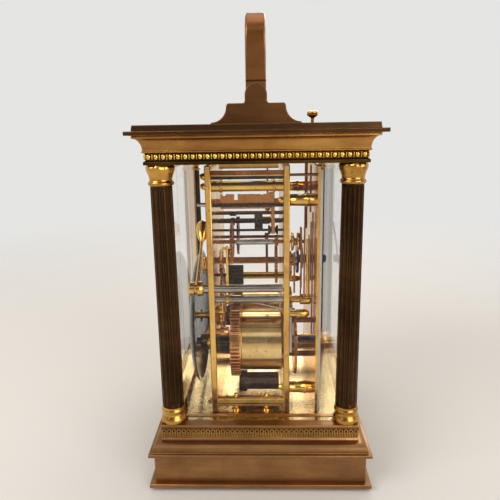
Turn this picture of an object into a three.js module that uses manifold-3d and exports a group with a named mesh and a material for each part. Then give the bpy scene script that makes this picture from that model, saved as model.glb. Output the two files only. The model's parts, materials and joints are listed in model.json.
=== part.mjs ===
// Brass carriage clock with columns: a glazed case around a striking and repeating movement
// with an alarm. Units are millimetres, +Z is up, the dial faces -Y and the rear door +Y.
// The origin is the centre of the clock's footprint, on the surface that it stands on.

import * as THREE from 'three';
import { mergeVertices } from 'three/addons/utils/BufferGeometryUtils.js';
import Module from 'manifold-3d';

const wasm = await Module();
wasm.setup();

// ---------------------------------------------------------------- driving dimensions

// The case is wider (X) than it is deep (Y) by the same amount on every course, so each
// moulding is given by its half depth only.
const EXTRA_WIDTH = 5;

const PAD = { half: 45.3, top: 1.4 };
const BASE_PLATE = { half: 48.4, top: 3.35 };
const PLINTH = { half: 46.1, top: 16.4, ledgeHalf: 48.3, ledgeTop: 17.8, hollowHalf: 40, hollowTop: 17.2 };
const OGEE = { lowHalf: 46.8, lowZ: 18.6, highHalf: 43.5, top: 21.4 };
const FRIEZE = { half: 43.15, bandHalf: 42.9, bandLow: 23.2, bandHigh: 27.2, top: 29.0 };
const FLOOR_Z = 25.5;
const RECESS_HALF = 38.5;
const CORNER_BLOCK = 5.8;

const COLUMN = { x: 43, y: 38, shaftBottom: 36.6, shaftTop: 132.9, top: 141.2 };
const COLUMN_BASE = [[5.6, 29], [5.6, 30.6], [4.9, 31.4], [5.2, 32.6], [4.7, 33.6], [5.25, 34.8], [5, 36.6]];
const COLUMN_CAPITAL = [[4.7, 132.9], [5.15, 133.8], [4.8, 135], [4.85, 137.2], [5.7, 138.9], [5.75, 141.2]];
const SHAFT = { lowRadius: 4.68, highRadius: 4.4, flutes: 12, fluteDepth: 0.55 };

const FRAME_INNER = 29;
const ENTABLATURE = { half: 43.5, stripTop: 142.7, beadHalf: 43.1, top: 145.75 };
const CORNICE = { lowHalf: 43.5, neckZ: 147.2, fillet: 46.4, filletZ: 151.9, lipHalf: 48.95, lipZ: 152.5 };
const TOP_PLATE = { lowHalf: 46.6, highHalf: 46.28, bottom: 153.96, top: 156.16 };
const TOP_WINDOW = { half: 19, rebate: 20.5, rebateTop: 155.2, glassBottom: 152.9 };

const GLASS_THICKNESS = 3;
const GLASS_GAP = 0.3;
const BEVEL = { width: 7, depth: 1.2 };
const SIDE_GLASS = { x: 40.5, halfWidth: 32, bottom: 25.8, top: 140.9 };
const FRONT_GLASS = { y: 35.5, halfWidth: 36.9, bottom: 25.8, top: 140.9 };
const DOOR = { halfWidth: 36.6, bar: 3.2, groove: 1.6, inner: 35.3, outer: 39.4, bottom: 29.4, top: 140.8 };
const DOOR_PIN = { x: 35.9, y: 39, radius: 0.6, hole: 0.9, reach: 1.3, root: 1 };
const DOOR_KNOB = { z: 88, outline: [[1.5, 39.4], [1.1, 41], [2.4, 42.4], [1.6, 43.8], [0, 44]] };

const HANDLE_PIVOT_Z = 167.7;
const POST = { x: 29.6, thickness: 5, radius: 4.45 };
// Half of a post's outline as [Y, Z]: a hollow scroll, a square shoulder and a fillet.
const POST_SIDE = [
  [18.4, 156.16], [18.4, 157.36], [15.4, 158.76], [13, 161.16],
  [11.65, 163.5], [11.65, 164.4], [6.4, 164.4], [4.45, 166],
];
const HANDLE = { armX: 24.6, armThickness: 4.6, width: 8.4, top: 201, corner: 11 };
const TRUNNION = { radius: 1.6, root: 1, hole: 2 };
const BUTTON = { y: -25.9, hole: 1.2 };
const BUTTON_OUTLINE = [[0.7, 145], [0.7, 159.1], [2.6, 160.4], [2.6, 160.9], [1.5, 162.2], [0, 162.6]];
const REPEAT_ROD = { x: -8, y: -22.6, radius: 0.7, bottom: 108.5 };
const REPEAT_BRIDGE = { top: 146.2, thickness: 1.4, margin: 1.2 };

const PLATE = { halfWidth: 32, bottom: 25.8, top: 139.7, thickness: 2.7 };
const BACK_PLATE_Y = 19.4;
const FRONT_PLATE_Y = -13.8;
const FRONT_PLATE_BACK = FRONT_PLATE_Y + PLATE.thickness;
const PILLAR = { x: 28.5, lowZ: 29.6, highZ: 130.8, lowRadius: 2.7, highRadius: 2.4 };
const PILLAR_RING = { inset: 3.9, half: 0.5, height: 0.5 };
const PLATFORM = { halfWidth: 14, back: 17.3, front: -9.6, bottom: 137.2, thickness: 2, staffHole: 1.2 };

const DIAL_PLATE = { halfWidth: 34, bottom: 26, top: 139, back: -25.3, front: -26.4 };
const DIAL = { front: -27.6, margin: 1.2 };
const DIAL_POST = { x: 28, highZ: 124.6, lowZ: 36.6, radius: 2.3, root: 0.5 };
const DIAL_HOLE = { hands: 3, alarm: 1.6 };
const ALARM_Z = 49;

const BELL = { z: 62, radius: 33.2, rimY: 28.8, rise: 5.3, wall: 1.2, keyHole: 3.5 };
const BELL_STUD = { radius: 1.6, end: 34.9 };

// Arbors run along Y. Each wheel is given by teeth and module, and each arbor's place
// follows from the pitch circles of what it meshes with.
const ARBOR_RADIUS = 0.8;
const END_SHAKE = 0.3;
const PIVOT = { radius: 0.45, hole: 0.75, length: 1.4, centreHole: 1.4, warningHole: 1.3 };
const GREAT = { teeth: 54, module: 0.6, y: 13.1, thickness: 4.3 };
const BARREL = { x: 17, z: 55.2, drumRadius: 13.7, drumFront: -10.5, bore: 2.4, seat: 0.5 };
const WINDING = { radius: 1.9, hole: 2.4, front: -18.6, square: 1.7, end: 30.4 };
const WINDING_COLLAR = { radius: 3.35, from: 22.4, to: 28.1 };
const RATCHET = { radius: 15.6, teeth: 24, depth: 1, back: -16.2, thickness: 1.2 };
const FIRST_PINION = { teeth: 9, module: 0.6 };
const INTERMEDIATE = { teeth: 45, driven: 15 };
const CENTRE_Z = 91.5;
const CENTRE_ARBOR = { front: -32.6, radius: 1, cannonBack: -15.4, cannonLength: 2.2 };
const MINUTE_ARBOR = { front: -20.4, radius: 0.9, pinionBack: -18.2, pinionLength: 1.8 };
const HOUR_WHEEL = { back: -18.5, thickness: 1.2 };
const THIN_WHEEL = 1;
const THICK_WHEEL = 1.15;
const LEAF_LENGTH = 1.8;
const STAFF_END = 2;
const BAR_INSET = 0.2;
const WARNING_FRONT = -21.6;
const CENTRE = { teeth: 36, module: 0.53, driven: 6 };
const THIRD = { teeth: 36, module: 0.46, driven: 6 };
const WHEEL_BACK = {
  intermediate: 15.4, strikeSecond: 17.8, centre: -3.5, third: 10.6, pin: -7.7, warning: 12.4, minute: -15.7,
};
const CONTRATE = {
  z: 111.3, radius: 7, teeth: 20, back: -7.8, rimFloor: -6.9, tips: -6.3, rim: 0.9, slot: 0.36,
};
const ESCAPE = {
  y: -4.7, z: 140.6, radius: 3.1, teeth: 15, depth: 0.8, thickness: 0.5, staff: 0.45, bottom: 115.5,
};
const ESCAPE_LEAVES = { count: 7, radius: 1.3, length: 5 };
const BALANCE = { y: 6.2, z: 142.6, radius: 6.2, rim: 0.9, height: 1, arm: 0.45, staff: 0.5, top: 145.2 };
const STRIKE_SECOND_X = -11;
const PIN_WHEEL = { x: -15, teeth: 36, module: 0.53, driven: 6 };
const WARNING = { teeth: 36, module: 0.5, driven: 6, lean: 0.36 };
const WARNING_DISCS = [
  [3, -20], [4.1, -19.6], [4.1, -18.9], [1.6, -18.2], [1.6, -16.7], [4.1, -16], [4.1, -15.4], [3, -15],
];
const FLY = { lean: 0.93, vane: 4.6, front: -2.2, back: 1.6, half: 0.45, angle: 1.2 };
const FLY_HUB = { radius: 1.3, front: -5.4 };
const MOTION = {
  cannon: 6, minute: 18, cannonModule: 0.7, pinion: 6, hour: 24, hourModule: 0.56, angle: -0.6,
};
const HAND_THICKNESS = 0.6;
// Half widths along a hand, and where it swells as shares of its length.
const HAND_FORM = { stem: 0.6, neck: 0.8, tip: 0.12, narrow: 0.5, shoulder: 0.6 };
const HAND_SWELL = { from: 0.5, at: 0.62, to: 0.75 };
const HOUR_HAND = { length: 15, waist: 1.7, boss: 2.4, tail: 2.2, back: -29.3, bore: 1.45, angle: -1.05 };
const HOUR_PIPE = 2.1;
const MINUTE_HAND = { length: 24, waist: 1.3, boss: 2, tail: 3, back: -31.2, bore: 1.25, angle: 0.9 };
const MINUTE_COLLET = [[1.2, -33.6], [2, -33.2], [2.1, -31.6], [1.2, -31.6], [1.2, -33.6]];
const ALARM_HAND = { length: 7.5, waist: 0.9, boss: 1.3, tail: 1.4, back: -29.4, angle: 2.2 };
const ALARM_COLLET = [[0, -31.4], [1.3, -30.6], [1.3, -29.2], [1, -29.2], [1, -20]];
const ALARM_BARREL = { x: -14, z: 32.4, outline: [[4.2, -9.4], [4.2, 6.2], [5.2, 6.2], [5.2, 10]] };
const HAMMER = { x: -29, z: 85.3, radius: 1.9, hole: 2.25, headX: 4, headZ: 103.6, armY: 27.5 };
const HAMMER_BOSS = { radius: 3.3, from: 24.4, to: 31 };
const HAMMER_LIFTER = { half: 0.9, from: 13, to: 14.2, foot: 1, top: 19.6 };
// The hammer arm's outline, with its length counted back from the middle of the head.
const HAMMER_ARM = { root: 1, outline: [[0.8, -6], [1.9, -2.6], [2.6, -0.6], [2.1, 1.5], [0, 2.5]] };
const LEVER = { x: -15, z: 75.5, top: 105, back: -22.3, front: -24, half: 1.5 };
const LEVER_HUB = [[2.1, -24.6], [2.6, -24.2], [2.6, -19.6], [1.7, -19.4], [1.7, -14.2]];

// ---------------------------------------------------------------- colours of the metals

const METALS = {
  agedBronze: { color: 0x6e4c30, metalness: 0.8, roughness: 0.45 },
  darkBronze: { color: 0x3c2a16, metalness: 0.8, roughness: 0.4 },
  gilt: { color: 0xcda53c, metalness: 1, roughness: 0.22 },
  brass: { color: 0xc39a4a, metalness: 1, roughness: 0.28 },
  copper: { color: 0x9a5c36, metalness: 1, roughness: 0.35 },
  steel: { color: 0x8d8f92, metalness: 1, roughness: 0.3 },
  bluedSteel: { color: 0x1c2438, metalness: 0.9, roughness: 0.3 },
  bellMetal: { color: 0x5d6062, metalness: 0.9, roughness: 0.35 },
  enamel: { color: 0xf2efe6, metalness: 0, roughness: 0.2 },
  glass: { color: 0xe8f0ee, metalness: 0, roughness: 0.05, transparent: true, opacity: 0.3 },
};

// ---------------------------------------------------------------- solids and booleans

const SIDES = 12;

// Merges the shared vertices, drops collapsed triangles and turns the faces outwards.
function closed(geometry) {
  const bare = geometry.index ? geometry.clone() : geometry;
  for (const name of Object.keys(bare.attributes)) {
    if (name !== 'position') bare.deleteAttribute(name);
  }
  const merged = mergeVertices(bare, 1e-4);
  const point = (i) => new THREE.Vector3().fromBufferAttribute(merged.attributes.position, i);
  const index = merged.index.array;
  const kept = [];
  let volume = 0;
  for (let i = 0; i < index.length; i += 3) {
    const [a, b, c] = [index[i], index[i + 1], index[i + 2]];
    if (a === b || b === c || c === a) continue;
    kept.push(a, b, c);
    volume += point(a).dot(point(b).cross(point(c)));
  }
  if (volume < 0) kept.reverse();
  merged.setIndex(kept);
  return merged;
}

function manifoldOf(geometry) {
  const solid = closed(geometry);
  return new wasm.Manifold(new wasm.Mesh({
    numProp: 3,
    vertProperties: new Float32Array(solid.attributes.position.array),
    triVerts: new Uint32Array(solid.index.array),
  }));
}

function geometryOf(manifold) {
  const mesh = manifold.getMesh();
  const geometry = new THREE.BufferGeometry();
  geometry.setAttribute('position', new THREE.BufferAttribute(new Float32Array(mesh.vertProperties), 3));
  geometry.setIndex([...mesh.triVerts]);
  return geometry;
}

const join = (...pieces) => geometryOf(pieces.map(manifoldOf).reduce((sum, piece) => sum.add(piece)));
const cut = (body, ...tools) =>
  geometryOf(tools.map(manifoldOf).reduce((rest, tool) => rest.subtract(tool), manifoldOf(body)));

// ---------------------------------------------------------------- shape helpers

const TURN = { half: Math.PI, quarter: Math.PI / 2, full: Math.PI * 2 };

// A turned solid. The profile is [radius, height] pairs; the axis is Y, or Z for upright.
function turned(profile, sides = SIDES) {
  return closed(new THREE.LatheGeometry(profile.map(([r, y]) => new THREE.Vector2(r, y)), sides));
}

// A solid turned from its outline, closed to the axis at both ends.
function spindle(outline, sides) {
  const toAxis = ([radius, y]) => (radius === 0 ? [] : [[0, y]]);
  return turned([...toAxis(outline[0]), ...outline, ...toAxis(outline.at(-1))], sides);
}

// How far a cutter runs past the face that it cuts, and how far joined solids share a root.
const OVERCUT = 1;
const OVERLAP = 0.5;

const upright = (geometry) => geometry.rotateX(TURN.quarter);

const rodAlongY = (radius, from, to, sides = SIDES) => spindle([[radius, from], [radius, to]], sides);
const rodAlongZ = (radius, from, to, sides = SIDES) => upright(rodAlongY(radius, from, to, sides));
const rodAlongX = (radius, from, to) => rodAlongY(radius, from, to).rotateZ(-TURN.quarter);

function block(x, y, z) {
  const geometry = new THREE.BoxGeometry(x[1] - x[0], y[1] - y[0], z[1] - z[0]);
  return geometry.translate((x[0] + x[1]) / 2, (y[0] + y[1]) / 2, (z[0] + z[1]) / 2);
}

// A shape drawn in X and Z, as thick as asked, with its rear face at y.
function slab(shape, y, thickness) {
  const options = { depth: thickness, bevelEnabled: false, curveSegments: 6 };
  return closed(new THREE.ExtrudeGeometry(shape, options)).rotateX(TURN.quarter).translate(0, y, 0);
}

// A shape drawn in Y and Z, from x onwards.
function slabAcross(shape, x, thickness) {
  const turn = new THREE.Matrix4().makeBasis(
    new THREE.Vector3(0, 1, 0), new THREE.Vector3(0, 0, 1), new THREE.Vector3(1, 0, 0));
  const options = { depth: thickness, bevelEnabled: false, curveSegments: 6 };
  return closed(new THREE.ExtrudeGeometry(shape, options)).applyMatrix4(turn).translate(x, 0, 0);
}

function polygonPoints(x, z, radius, sides, phase = 0) {
  return Array.from({ length: sides }, (_, i) => {
    const angle = phase + (i * TURN.full) / sides;
    return new THREE.Vector2(x + radius * Math.cos(angle), z + radius * Math.sin(angle));
  });
}

const HOLE_TURN = 0.19;
const hole = (x, z, radius, sides = 8) => new THREE.Path(polygonPoints(x, z, radius, sides, HOLE_TURN));

function rectangle(halfWidth, bottom, top) {
  return new THREE.Shape([[-halfWidth, bottom], [halfWidth, bottom], [halfWidth, top], [-halfWidth, top]]
    .map(([x, z]) => new THREE.Vector2(x, z)));
}

// A course of the case: the [half depth, z] profile goes round the rectangle with mitred
// corners. A closed profile gives a frame; one that starts and ends at half depth
// SOLID_CORE gives a solid block.
const SOLID_CORE = null;
function course(profile) {
  const solid = profile[0][0] === SOLID_CORE;
  const rings = solid ? profile.slice(1, -1) : profile;
  const corners = [[1, 1], [-1, 1], [-1, -1], [1, -1]];
  const positions = rings.flatMap(([half, z]) =>
    corners.flatMap(([sx, sy]) => [sx * (half + EXTRA_WIDTH), sy * half, z]));
  const index = [];
  const quad = (a, b, c, d) => index.push(a, b, c, a, c, d);
  const steps = solid ? rings.length - 1 : rings.length;
  for (let i = 0; i < steps; i += 1) {
    const next = (i + 1) % rings.length;
    for (let c = 0; c < 4; c += 1) {
      const d = (c + 1) % 4;
      quad(i * 4 + c, i * 4 + d, next * 4 + d, next * 4 + c);
    }
  }
  if (solid) {
    const last = (rings.length - 1) * 4;
    quad(0, 3, 2, 1);
    quad(last, last + 1, last + 2, last + 3);
  }
  const geometry = new THREE.BufferGeometry();
  geometry.setAttribute('position', new THREE.Float32BufferAttribute(positions, 3));
  geometry.setIndex(index);
  return closed(geometry);
}

// Points of a quarter ellipse from one [half, z] corner to another.
function cove(from, to, steps, bulge) {
  return Array.from({ length: steps + 1 }, (_, i) => {
    const angle = (i / steps) * TURN.quarter;
    const [u, v] = bulge ? [Math.sin(angle), 1 - Math.cos(angle)] : [1 - Math.cos(angle), Math.sin(angle)];
    return [from[0] + (to[0] - from[0]) * u, from[1] + (to[1] - from[1]) * v];
  });
}

// ---------------------------------------------------------------- gears

// Wheels are crossed out: arms run from the hub to the rim.
const CROSSING = { armHalf: 0.7, rim: 1.1, hub: 2, hubShare: 0.26 };

const TOOTH = { addendum: 0.75, dedendum: 1.1, rootHalf: 0.26, leafTipHalf: 0.1 };

// Pointed wheel teeth as clock wheels have, or flat-topped leaves for a pinion.
function toothedShape({ teeth, module, phase = 0 }, leaves = false) {
  const pitch = TURN.full / teeth;
  const pitchRadius = (teeth * module) / 2;
  const tip = pitchRadius + TOOTH.addendum * module;
  const root = pitchRadius - TOOTH.dedendum * module;
  const outline = leaves
    ? [[-TOOTH.rootHalf, root], [-TOOTH.leafTipHalf, tip], [TOOTH.leafTipHalf, tip], [TOOTH.rootHalf, root]]
    : [[-TOOTH.rootHalf, root], [0, tip], [TOOTH.rootHalf, root]];
  const points = [];
  for (let i = 0; i < teeth; i += 1) {
    for (const [offset, radius] of outline) {
      const angle = phase + (i + offset) * pitch;
      points.push(new THREE.Vector2(radius * Math.cos(angle), radius * Math.sin(angle)));
    }
  }
  return new THREE.Shape(points);
}

// The windows between the arms of a crossed-out wheel.
function addCrossings(shape, rim, hub, arms) {
  const { armHalf } = CROSSING;
  for (let i = 0; i < arms; i += 1) {
    const start = (i * TURN.full) / arms;
    const end = start + TURN.full / arms;
    const arc = (radius, count) => {
      const inset = Math.asin(armHalf / radius);
      return Array.from({ length: count }, (_, k) => {
        const angle = start + inset + ((end - start - 2 * inset) * k) / (count - 1);
        return new THREE.Vector2(radius * Math.cos(angle), radius * Math.sin(angle));
      });
    };
    shape.holes.push(new THREE.Path([...arc(rim, 5), ...arc(hub, 2).reverse()]));
  }
  return shape;
}

function wheel(gear, y, thickness, arms = 4) {
  const shape = toothedShape(gear);
  const root = (gear.teeth * gear.module) / 2 - TOOTH.dedendum * gear.module;
  const hub = Math.max(CROSSING.hub, root * CROSSING.hubShare);
  if (arms > 0) addCrossings(shape, root - CROSSING.rim, hub, arms);
  return slab(shape, y, thickness);
}

const pinion = (gear, y, thickness) => slab(toothedShape(gear, true), y, thickness);

const pitchRadiusOf = (gear) => (gear.teeth * gear.module) / 2;

// The phase that brings a follower's gap onto the driver's tooth along the line of centres.
function meshPhase(driver, driverAt, follower, followerAt) {
  const line = Math.atan2(followerAt.z - driverAt.z, followerAt.x - driverAt.x);
  const driverTurn = (line - (driver.phase ?? 0)) / (TURN.full / driver.teeth);
  const followerPitch = TURN.full / follower.teeth;
  return line + TURN.half - followerPitch * (0.5 - driverTurn);
}

// An arbor between the plates with a thin pivot at each end.
function arbor({ front = true, radius = ARBOR_RADIUS, from } = {}) {
  const low = from ?? FRONT_PLATE_BACK + END_SHAKE;
  const high = BACK_PLATE_Y - END_SHAKE;
  const frontPivot = front ? [[PIVOT.radius, low - PIVOT.length], [PIVOT.radius, low]] : [];
  const backPivot = [[PIVOT.radius, high], [PIVOT.radius, high + PIVOT.length]];
  return spindle([...frontPivot, [radius, low], [radius, high], ...backPivot], 8);
}

// ---------------------------------------------------------------- train layout

const meshDistance = (a, b) => pitchRadiusOf(a) + pitchRadiusOf(b);

const greatGear = { teeth: GREAT.teeth, module: GREAT.module };
const firstPinion = { ...FIRST_PINION };
const barrelDistance = meshDistance(greatGear, firstPinion);

const at = (x, z) => ({ x, z });
const step = (from, distance, angle) =>
  at(from.x + distance * Math.cos(angle), from.z + distance * Math.sin(angle));

// Going train: barrel, intermediate, centre, third, contrate.
const goingBarrelAt = at(BARREL.x, BARREL.z);
const centreAt = at(0, CENTRE_Z);
const toCentre = at(centreAt.x - goingBarrelAt.x, centreAt.z - goingBarrelAt.z);
const intermediateAt = step(goingBarrelAt, barrelDistance, Math.atan2(toCentre.z, toCentre.x));

// The intermediate wheel spans what is left between its arbor and the centre arbor.
const intermediateModule = (2 * (Math.hypot(toCentre.x, toCentre.z) - barrelDistance))
  / (INTERMEDIATE.teeth + INTERMEDIATE.driven);
const intermediateGear = { teeth: INTERMEDIATE.teeth, module: intermediateModule };
const secondPinion = { teeth: INTERMEDIATE.driven, module: intermediateModule };
const contrateAt = at(0, CONTRATE.z);
const centreGear = { teeth: CENTRE.teeth, module: CENTRE.module };
const thirdPinion = { teeth: CENTRE.driven, module: CENTRE.module };
const thirdGear = { teeth: THIRD.teeth, module: THIRD.module };
const contratePinion = { teeth: THIRD.driven, module: THIRD.module };

// The third arbor stands where its two meshing distances meet.
function meetingPoint(low, lowDistance, high, highDistance) {
  const rise = high.z - low.z;
  const along = (rise ** 2 + lowDistance ** 2 - highDistance ** 2) / (2 * rise);
  return at(low.x + Math.sqrt(lowDistance ** 2 - along ** 2), low.z + along);
}
const thirdAt = meetingPoint(
  centreAt, meshDistance(centreGear, thirdPinion), contrateAt, meshDistance(thirdGear, contratePinion),
);

// Strike train: barrel, second, pin wheel, warning wheel, fly.
const strikeBarrelAt = at(-BARREL.x, BARREL.z);
const leanTo = (from, distance, x) => at(x, from.z + Math.sqrt(distance ** 2 - (x - from.x) ** 2));
const strikeSecondAt = leanTo(strikeBarrelAt, barrelDistance, STRIKE_SECOND_X);
const pinWheelAt = leanTo(strikeSecondAt, meshDistance(intermediateGear, secondPinion), PIN_WHEEL.x);
const pinGear = { teeth: PIN_WHEEL.teeth, module: PIN_WHEEL.module };
const warningPinion = { teeth: PIN_WHEEL.driven, module: PIN_WHEEL.module };
const warningGear = { teeth: WARNING.teeth, module: WARNING.module };
const flyPinion = { teeth: WARNING.driven, module: WARNING.module };
const warningAt = step(pinWheelAt, meshDistance(pinGear, warningPinion), TURN.quarter + WARNING.lean);
const flyAt = step(warningAt, meshDistance(warningGear, flyPinion), FLY.lean);

// Motion work in front of the front plate.
const cannonGear = { teeth: MOTION.cannon, module: MOTION.cannonModule };
const minuteGear = { teeth: MOTION.minute, module: MOTION.cannonModule };
const minutePinion = { teeth: MOTION.pinion, module: MOTION.hourModule };
const hourGear = { teeth: MOTION.hour, module: MOTION.hourModule };
const minuteAt = step(centreAt, meshDistance(cannonGear, minuteGear), MOTION.angle);

const withPhase = (gear, phase) => ({ ...gear, phase });
const meshed = (driver, driverAt, follower, followerAt) =>
  withPhase(follower, meshPhase(driver, driverAt, follower, followerAt));

const place = (geometry, spot) => geometry.translate(spot.x, 0, spot.z);

// ---------------------------------------------------------------- the assembly

const clock = new THREE.Group();

function add(name, geometry, metal) {
  const mesh = new THREE.Mesh(geometry, new THREE.MeshStandardMaterial(METALS[metal]));
  mesh.name = name;
  clock.add(mesh);
  return mesh;
}

// ---- base

add('base_plate', course([
  [SOLID_CORE, 0], [PAD.half, 0], [PAD.half, PAD.top], [BASE_PLATE.half, PAD.top],
  [BASE_PLATE.half, BASE_PLATE.top], [SOLID_CORE, BASE_PLATE.top],
]), 'agedBronze');

// The plinth is hollow underneath, and the base plate closes it.
function plinthHollow() {
  const { hollowHalf, hollowTop } = PLINTH;
  const x = hollowHalf + EXTRA_WIDTH;
  return block([-x, x], [-hollowHalf, hollowHalf], [BASE_PLATE.top - OVERCUT, hollowTop]);
}

add('plinth', cut(course([
  [SOLID_CORE, BASE_PLATE.top], [PLINTH.half, BASE_PLATE.top], [PLINTH.half, PLINTH.top],
  [PLINTH.ledgeHalf, PLINTH.top], [PLINTH.ledgeHalf, PLINTH.ledgeTop],
  [OGEE.lowHalf, PLINTH.ledgeTop], ...cove([OGEE.lowHalf, OGEE.lowZ], [OGEE.highHalf, OGEE.top], 4, false),
  [SOLID_CORE, OGEE.top],
]), plinthHollow()), 'agedBronze');

// The floor is sunk between four corner blocks that carry the columns.
function recess() {
  const [x, y] = [RECESS_HALF + EXTRA_WIDTH, RECESS_HALF];
  const height = [FLOOR_Z, FRIEZE.top + OVERCUT];
  const wide = block([-x, x], [-(y - CORNER_BLOCK), y - CORNER_BLOCK], height);
  const deep = block([-(x - CORNER_BLOCK), x - CORNER_BLOCK], [-y, y], height);
  return join(wide, deep);
}

const doorPinHole = (from, to) => rodAlongZ(DOOR_PIN.hole, from, to).translate(DOOR_PIN.x, DOOR_PIN.y, 0);

add('base_frieze', cut(course([
  [SOLID_CORE, OGEE.top], [FRIEZE.half, OGEE.top], [FRIEZE.half, FRIEZE.bandLow],
  [FRIEZE.bandHalf, FRIEZE.bandLow], [FRIEZE.bandHalf, FRIEZE.bandHigh], [FRIEZE.half, FRIEZE.bandHigh],
  [FRIEZE.half, FRIEZE.top],
  [SOLID_CORE, FRIEZE.top],
]), recess(), doorPinHole(FRIEZE.top - DOOR_PIN.reach, FRIEZE.top + OVERCUT)), 'agedBronze');

// ---- columns

function columnShaft() {
  const { lowRadius, highRadius, flutes, fluteDepth } = SHAFT;
  const sides = flutes * 2;
  const rings = [[lowRadius, COLUMN.shaftBottom], [highRadius, COLUMN.shaftTop]];
  const shaft = spindle(rings, sides);
  const position = shaft.attributes.position;
  for (let i = 0; i < position.count; i += 1) {
    const [x, z] = [position.getX(i), position.getZ(i)];
    const radius = Math.hypot(x, z);
    const side = Math.round((Math.atan2(z, x) / TURN.full) * sides);
    if (radius < highRadius || side % 2 === 0) continue;
    const scale = (radius - fluteDepth) / radius;
    position.setX(i, x * scale);
    position.setZ(i, z * scale);
  }
  return upright(shaft);
}

const CORNERS = [['front_left', -1, -1], ['front_right', 1, -1], ['rear_left', -1, 1], ['rear_right', 1, 1]];
for (const [corner, sx, sy] of CORNERS) {
  const spot = [sx * COLUMN.x, sy * COLUMN.y, 0];
  add(`column_base_${corner}`, upright(spindle(COLUMN_BASE)).translate(...spot), 'gilt');
  add(`column_shaft_${corner}`, columnShaft().translate(...spot), 'darkBronze');
  add(`column_capital_${corner}`, upright(spindle(COLUMN_CAPITAL)).translate(...spot), 'gilt');
}

// ---- top of the case

add('entablature', cut(course([
  [FRAME_INNER, COLUMN.top], [ENTABLATURE.half, COLUMN.top], [ENTABLATURE.half, ENTABLATURE.stripTop],
  [ENTABLATURE.beadHalf, ENTABLATURE.stripTop], [ENTABLATURE.beadHalf, ENTABLATURE.top],
  [FRAME_INNER, ENTABLATURE.top],
]), doorPinHole(COLUMN.top - OVERCUT, COLUMN.top + DOOR_PIN.reach)), 'gilt');

add('cornice', course([
  [FRAME_INNER, ENTABLATURE.top], [CORNICE.lowHalf, ENTABLATURE.top],
  ...cove([CORNICE.lowHalf, CORNICE.neckZ], [CORNICE.fillet, CORNICE.filletZ], 4, true),
  [CORNICE.lipHalf, CORNICE.lipZ], [CORNICE.lipHalf, TOP_PLATE.bottom], [FRAME_INNER, TOP_PLATE.bottom],
]), 'agedBronze');

const buttonHole = rodAlongZ(BUTTON.hole, TOP_PLATE.bottom - OVERCUT, TOP_PLATE.top + OVERCUT);
add('top_plate', cut(course([
  [TOP_WINDOW.rebate, TOP_PLATE.bottom], [TOP_PLATE.lowHalf, TOP_PLATE.bottom],
  [TOP_PLATE.highHalf, TOP_PLATE.top], [TOP_WINDOW.half, TOP_PLATE.top],
  [TOP_WINDOW.half, TOP_WINDOW.rebateTop], [TOP_WINDOW.rebate, TOP_WINDOW.rebateTop],
]), buttonHole.translate(0, BUTTON.y, 0)), 'agedBronze');

const topGlassHalf = TOP_WINDOW.rebate - GLASS_GAP;
const topGlassTop = TOP_WINDOW.rebateTop - GLASS_GAP;
add('top_glass', course([
  [SOLID_CORE, TOP_WINDOW.glassBottom], [topGlassHalf, TOP_WINDOW.glassBottom], [topGlassHalf, topGlassTop],
  [SOLID_CORE, topGlassTop],
]), 'glass');

// ---- bevelled glasses, drawn flat facing -Y and then turned into place

function bevelledGlass(halfWidth, bottom, top) {
  const [w, b] = [BEVEL.width, BEVEL.depth];
  const rings = [
    [halfWidth, bottom, top, 0],
    [halfWidth, bottom, top, GLASS_THICKNESS - b],
    [halfWidth - w, bottom + w, top - w, GLASS_THICKNESS],
  ];
  const positions = rings.flatMap(([half, low, high, depth]) =>
    [[-half, low], [half, low], [half, high], [-half, high]].flatMap(([x, z]) => [x, -depth, z]));
  const index = [0, 2, 1, 0, 3, 2, 8, 9, 10, 8, 10, 11];
  for (let ring = 0; ring < 2; ring += 1) {
    for (let c = 0; c < 4; c += 1) {
      const [a, d] = [ring * 4 + c, ring * 4 + ((c + 1) % 4)];
      index.push(a, d, d + 4, a, d + 4, a + 4);
    }
  }
  const geometry = new THREE.BufferGeometry();
  geometry.setAttribute('position', new THREE.Float32BufferAttribute(positions, 3));
  geometry.setIndex(index);
  return closed(geometry);
}

const sideGlass = () => bevelledGlass(SIDE_GLASS.halfWidth, SIDE_GLASS.bottom, SIDE_GLASS.top);
add('left_glass', sideGlass().rotateZ(-TURN.quarter).translate(-SIDE_GLASS.x, 0, 0), 'glass');
add('right_glass', sideGlass().rotateZ(TURN.quarter).translate(SIDE_GLASS.x, 0, 0), 'glass');
add('front_glass', bevelledGlass(FRONT_GLASS.halfWidth, FRONT_GLASS.bottom, FRONT_GLASS.top)
  .translate(0, -FRONT_GLASS.y, 0), 'glass');

// ---- rear door

function doorFrame() {
  const shape = rectangle(DOOR.halfWidth, DOOR.bottom, DOOR.top);
  const opening = rectangle(DOOR.halfWidth - DOOR.bar, DOOR.bottom + DOOR.bar, DOOR.top - DOOR.bar);
  shape.holes.push(new THREE.Path(opening.getPoints()));
  const { reach, radius, x, y } = DOOR_PIN;
  const pin = (from, to) => rodAlongZ(radius, from, to, 8).translate(x, y, 0);
  const frame = slab(shape, DOOR.outer, DOOR.outer - DOOR.inner);
  const grooveHalf = DOOR.halfWidth - DOOR.groove;
  const groove = block(
    [-grooveHalf, grooveHalf],
    [DOOR.inner - OVERCUT, DOOR.inner + GLASS_THICKNESS + GLASS_GAP],
    [DOOR.bottom + DOOR.groove, DOOR.top - DOOR.groove],
  );
  const root = DOOR_PIN.root;
  const lowPin = pin(DOOR.bottom - reach, DOOR.bottom + root);
  const highPin = pin(DOOR.top - root, DOOR.top + reach);
  return join(cut(frame, groove), lowPin, highPin);
}
function doorGlass() {
  const inset = DOOR.groove + GLASS_GAP;
  const pane = bevelledGlass(DOOR.halfWidth - inset, DOOR.bottom + inset, DOOR.top - inset);
  return pane.rotateZ(TURN.half).translate(0, DOOR.inner, 0);
}
add('door_frame', doorFrame(), 'brass');
add('door_glass', doorGlass(), 'glass');
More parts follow.
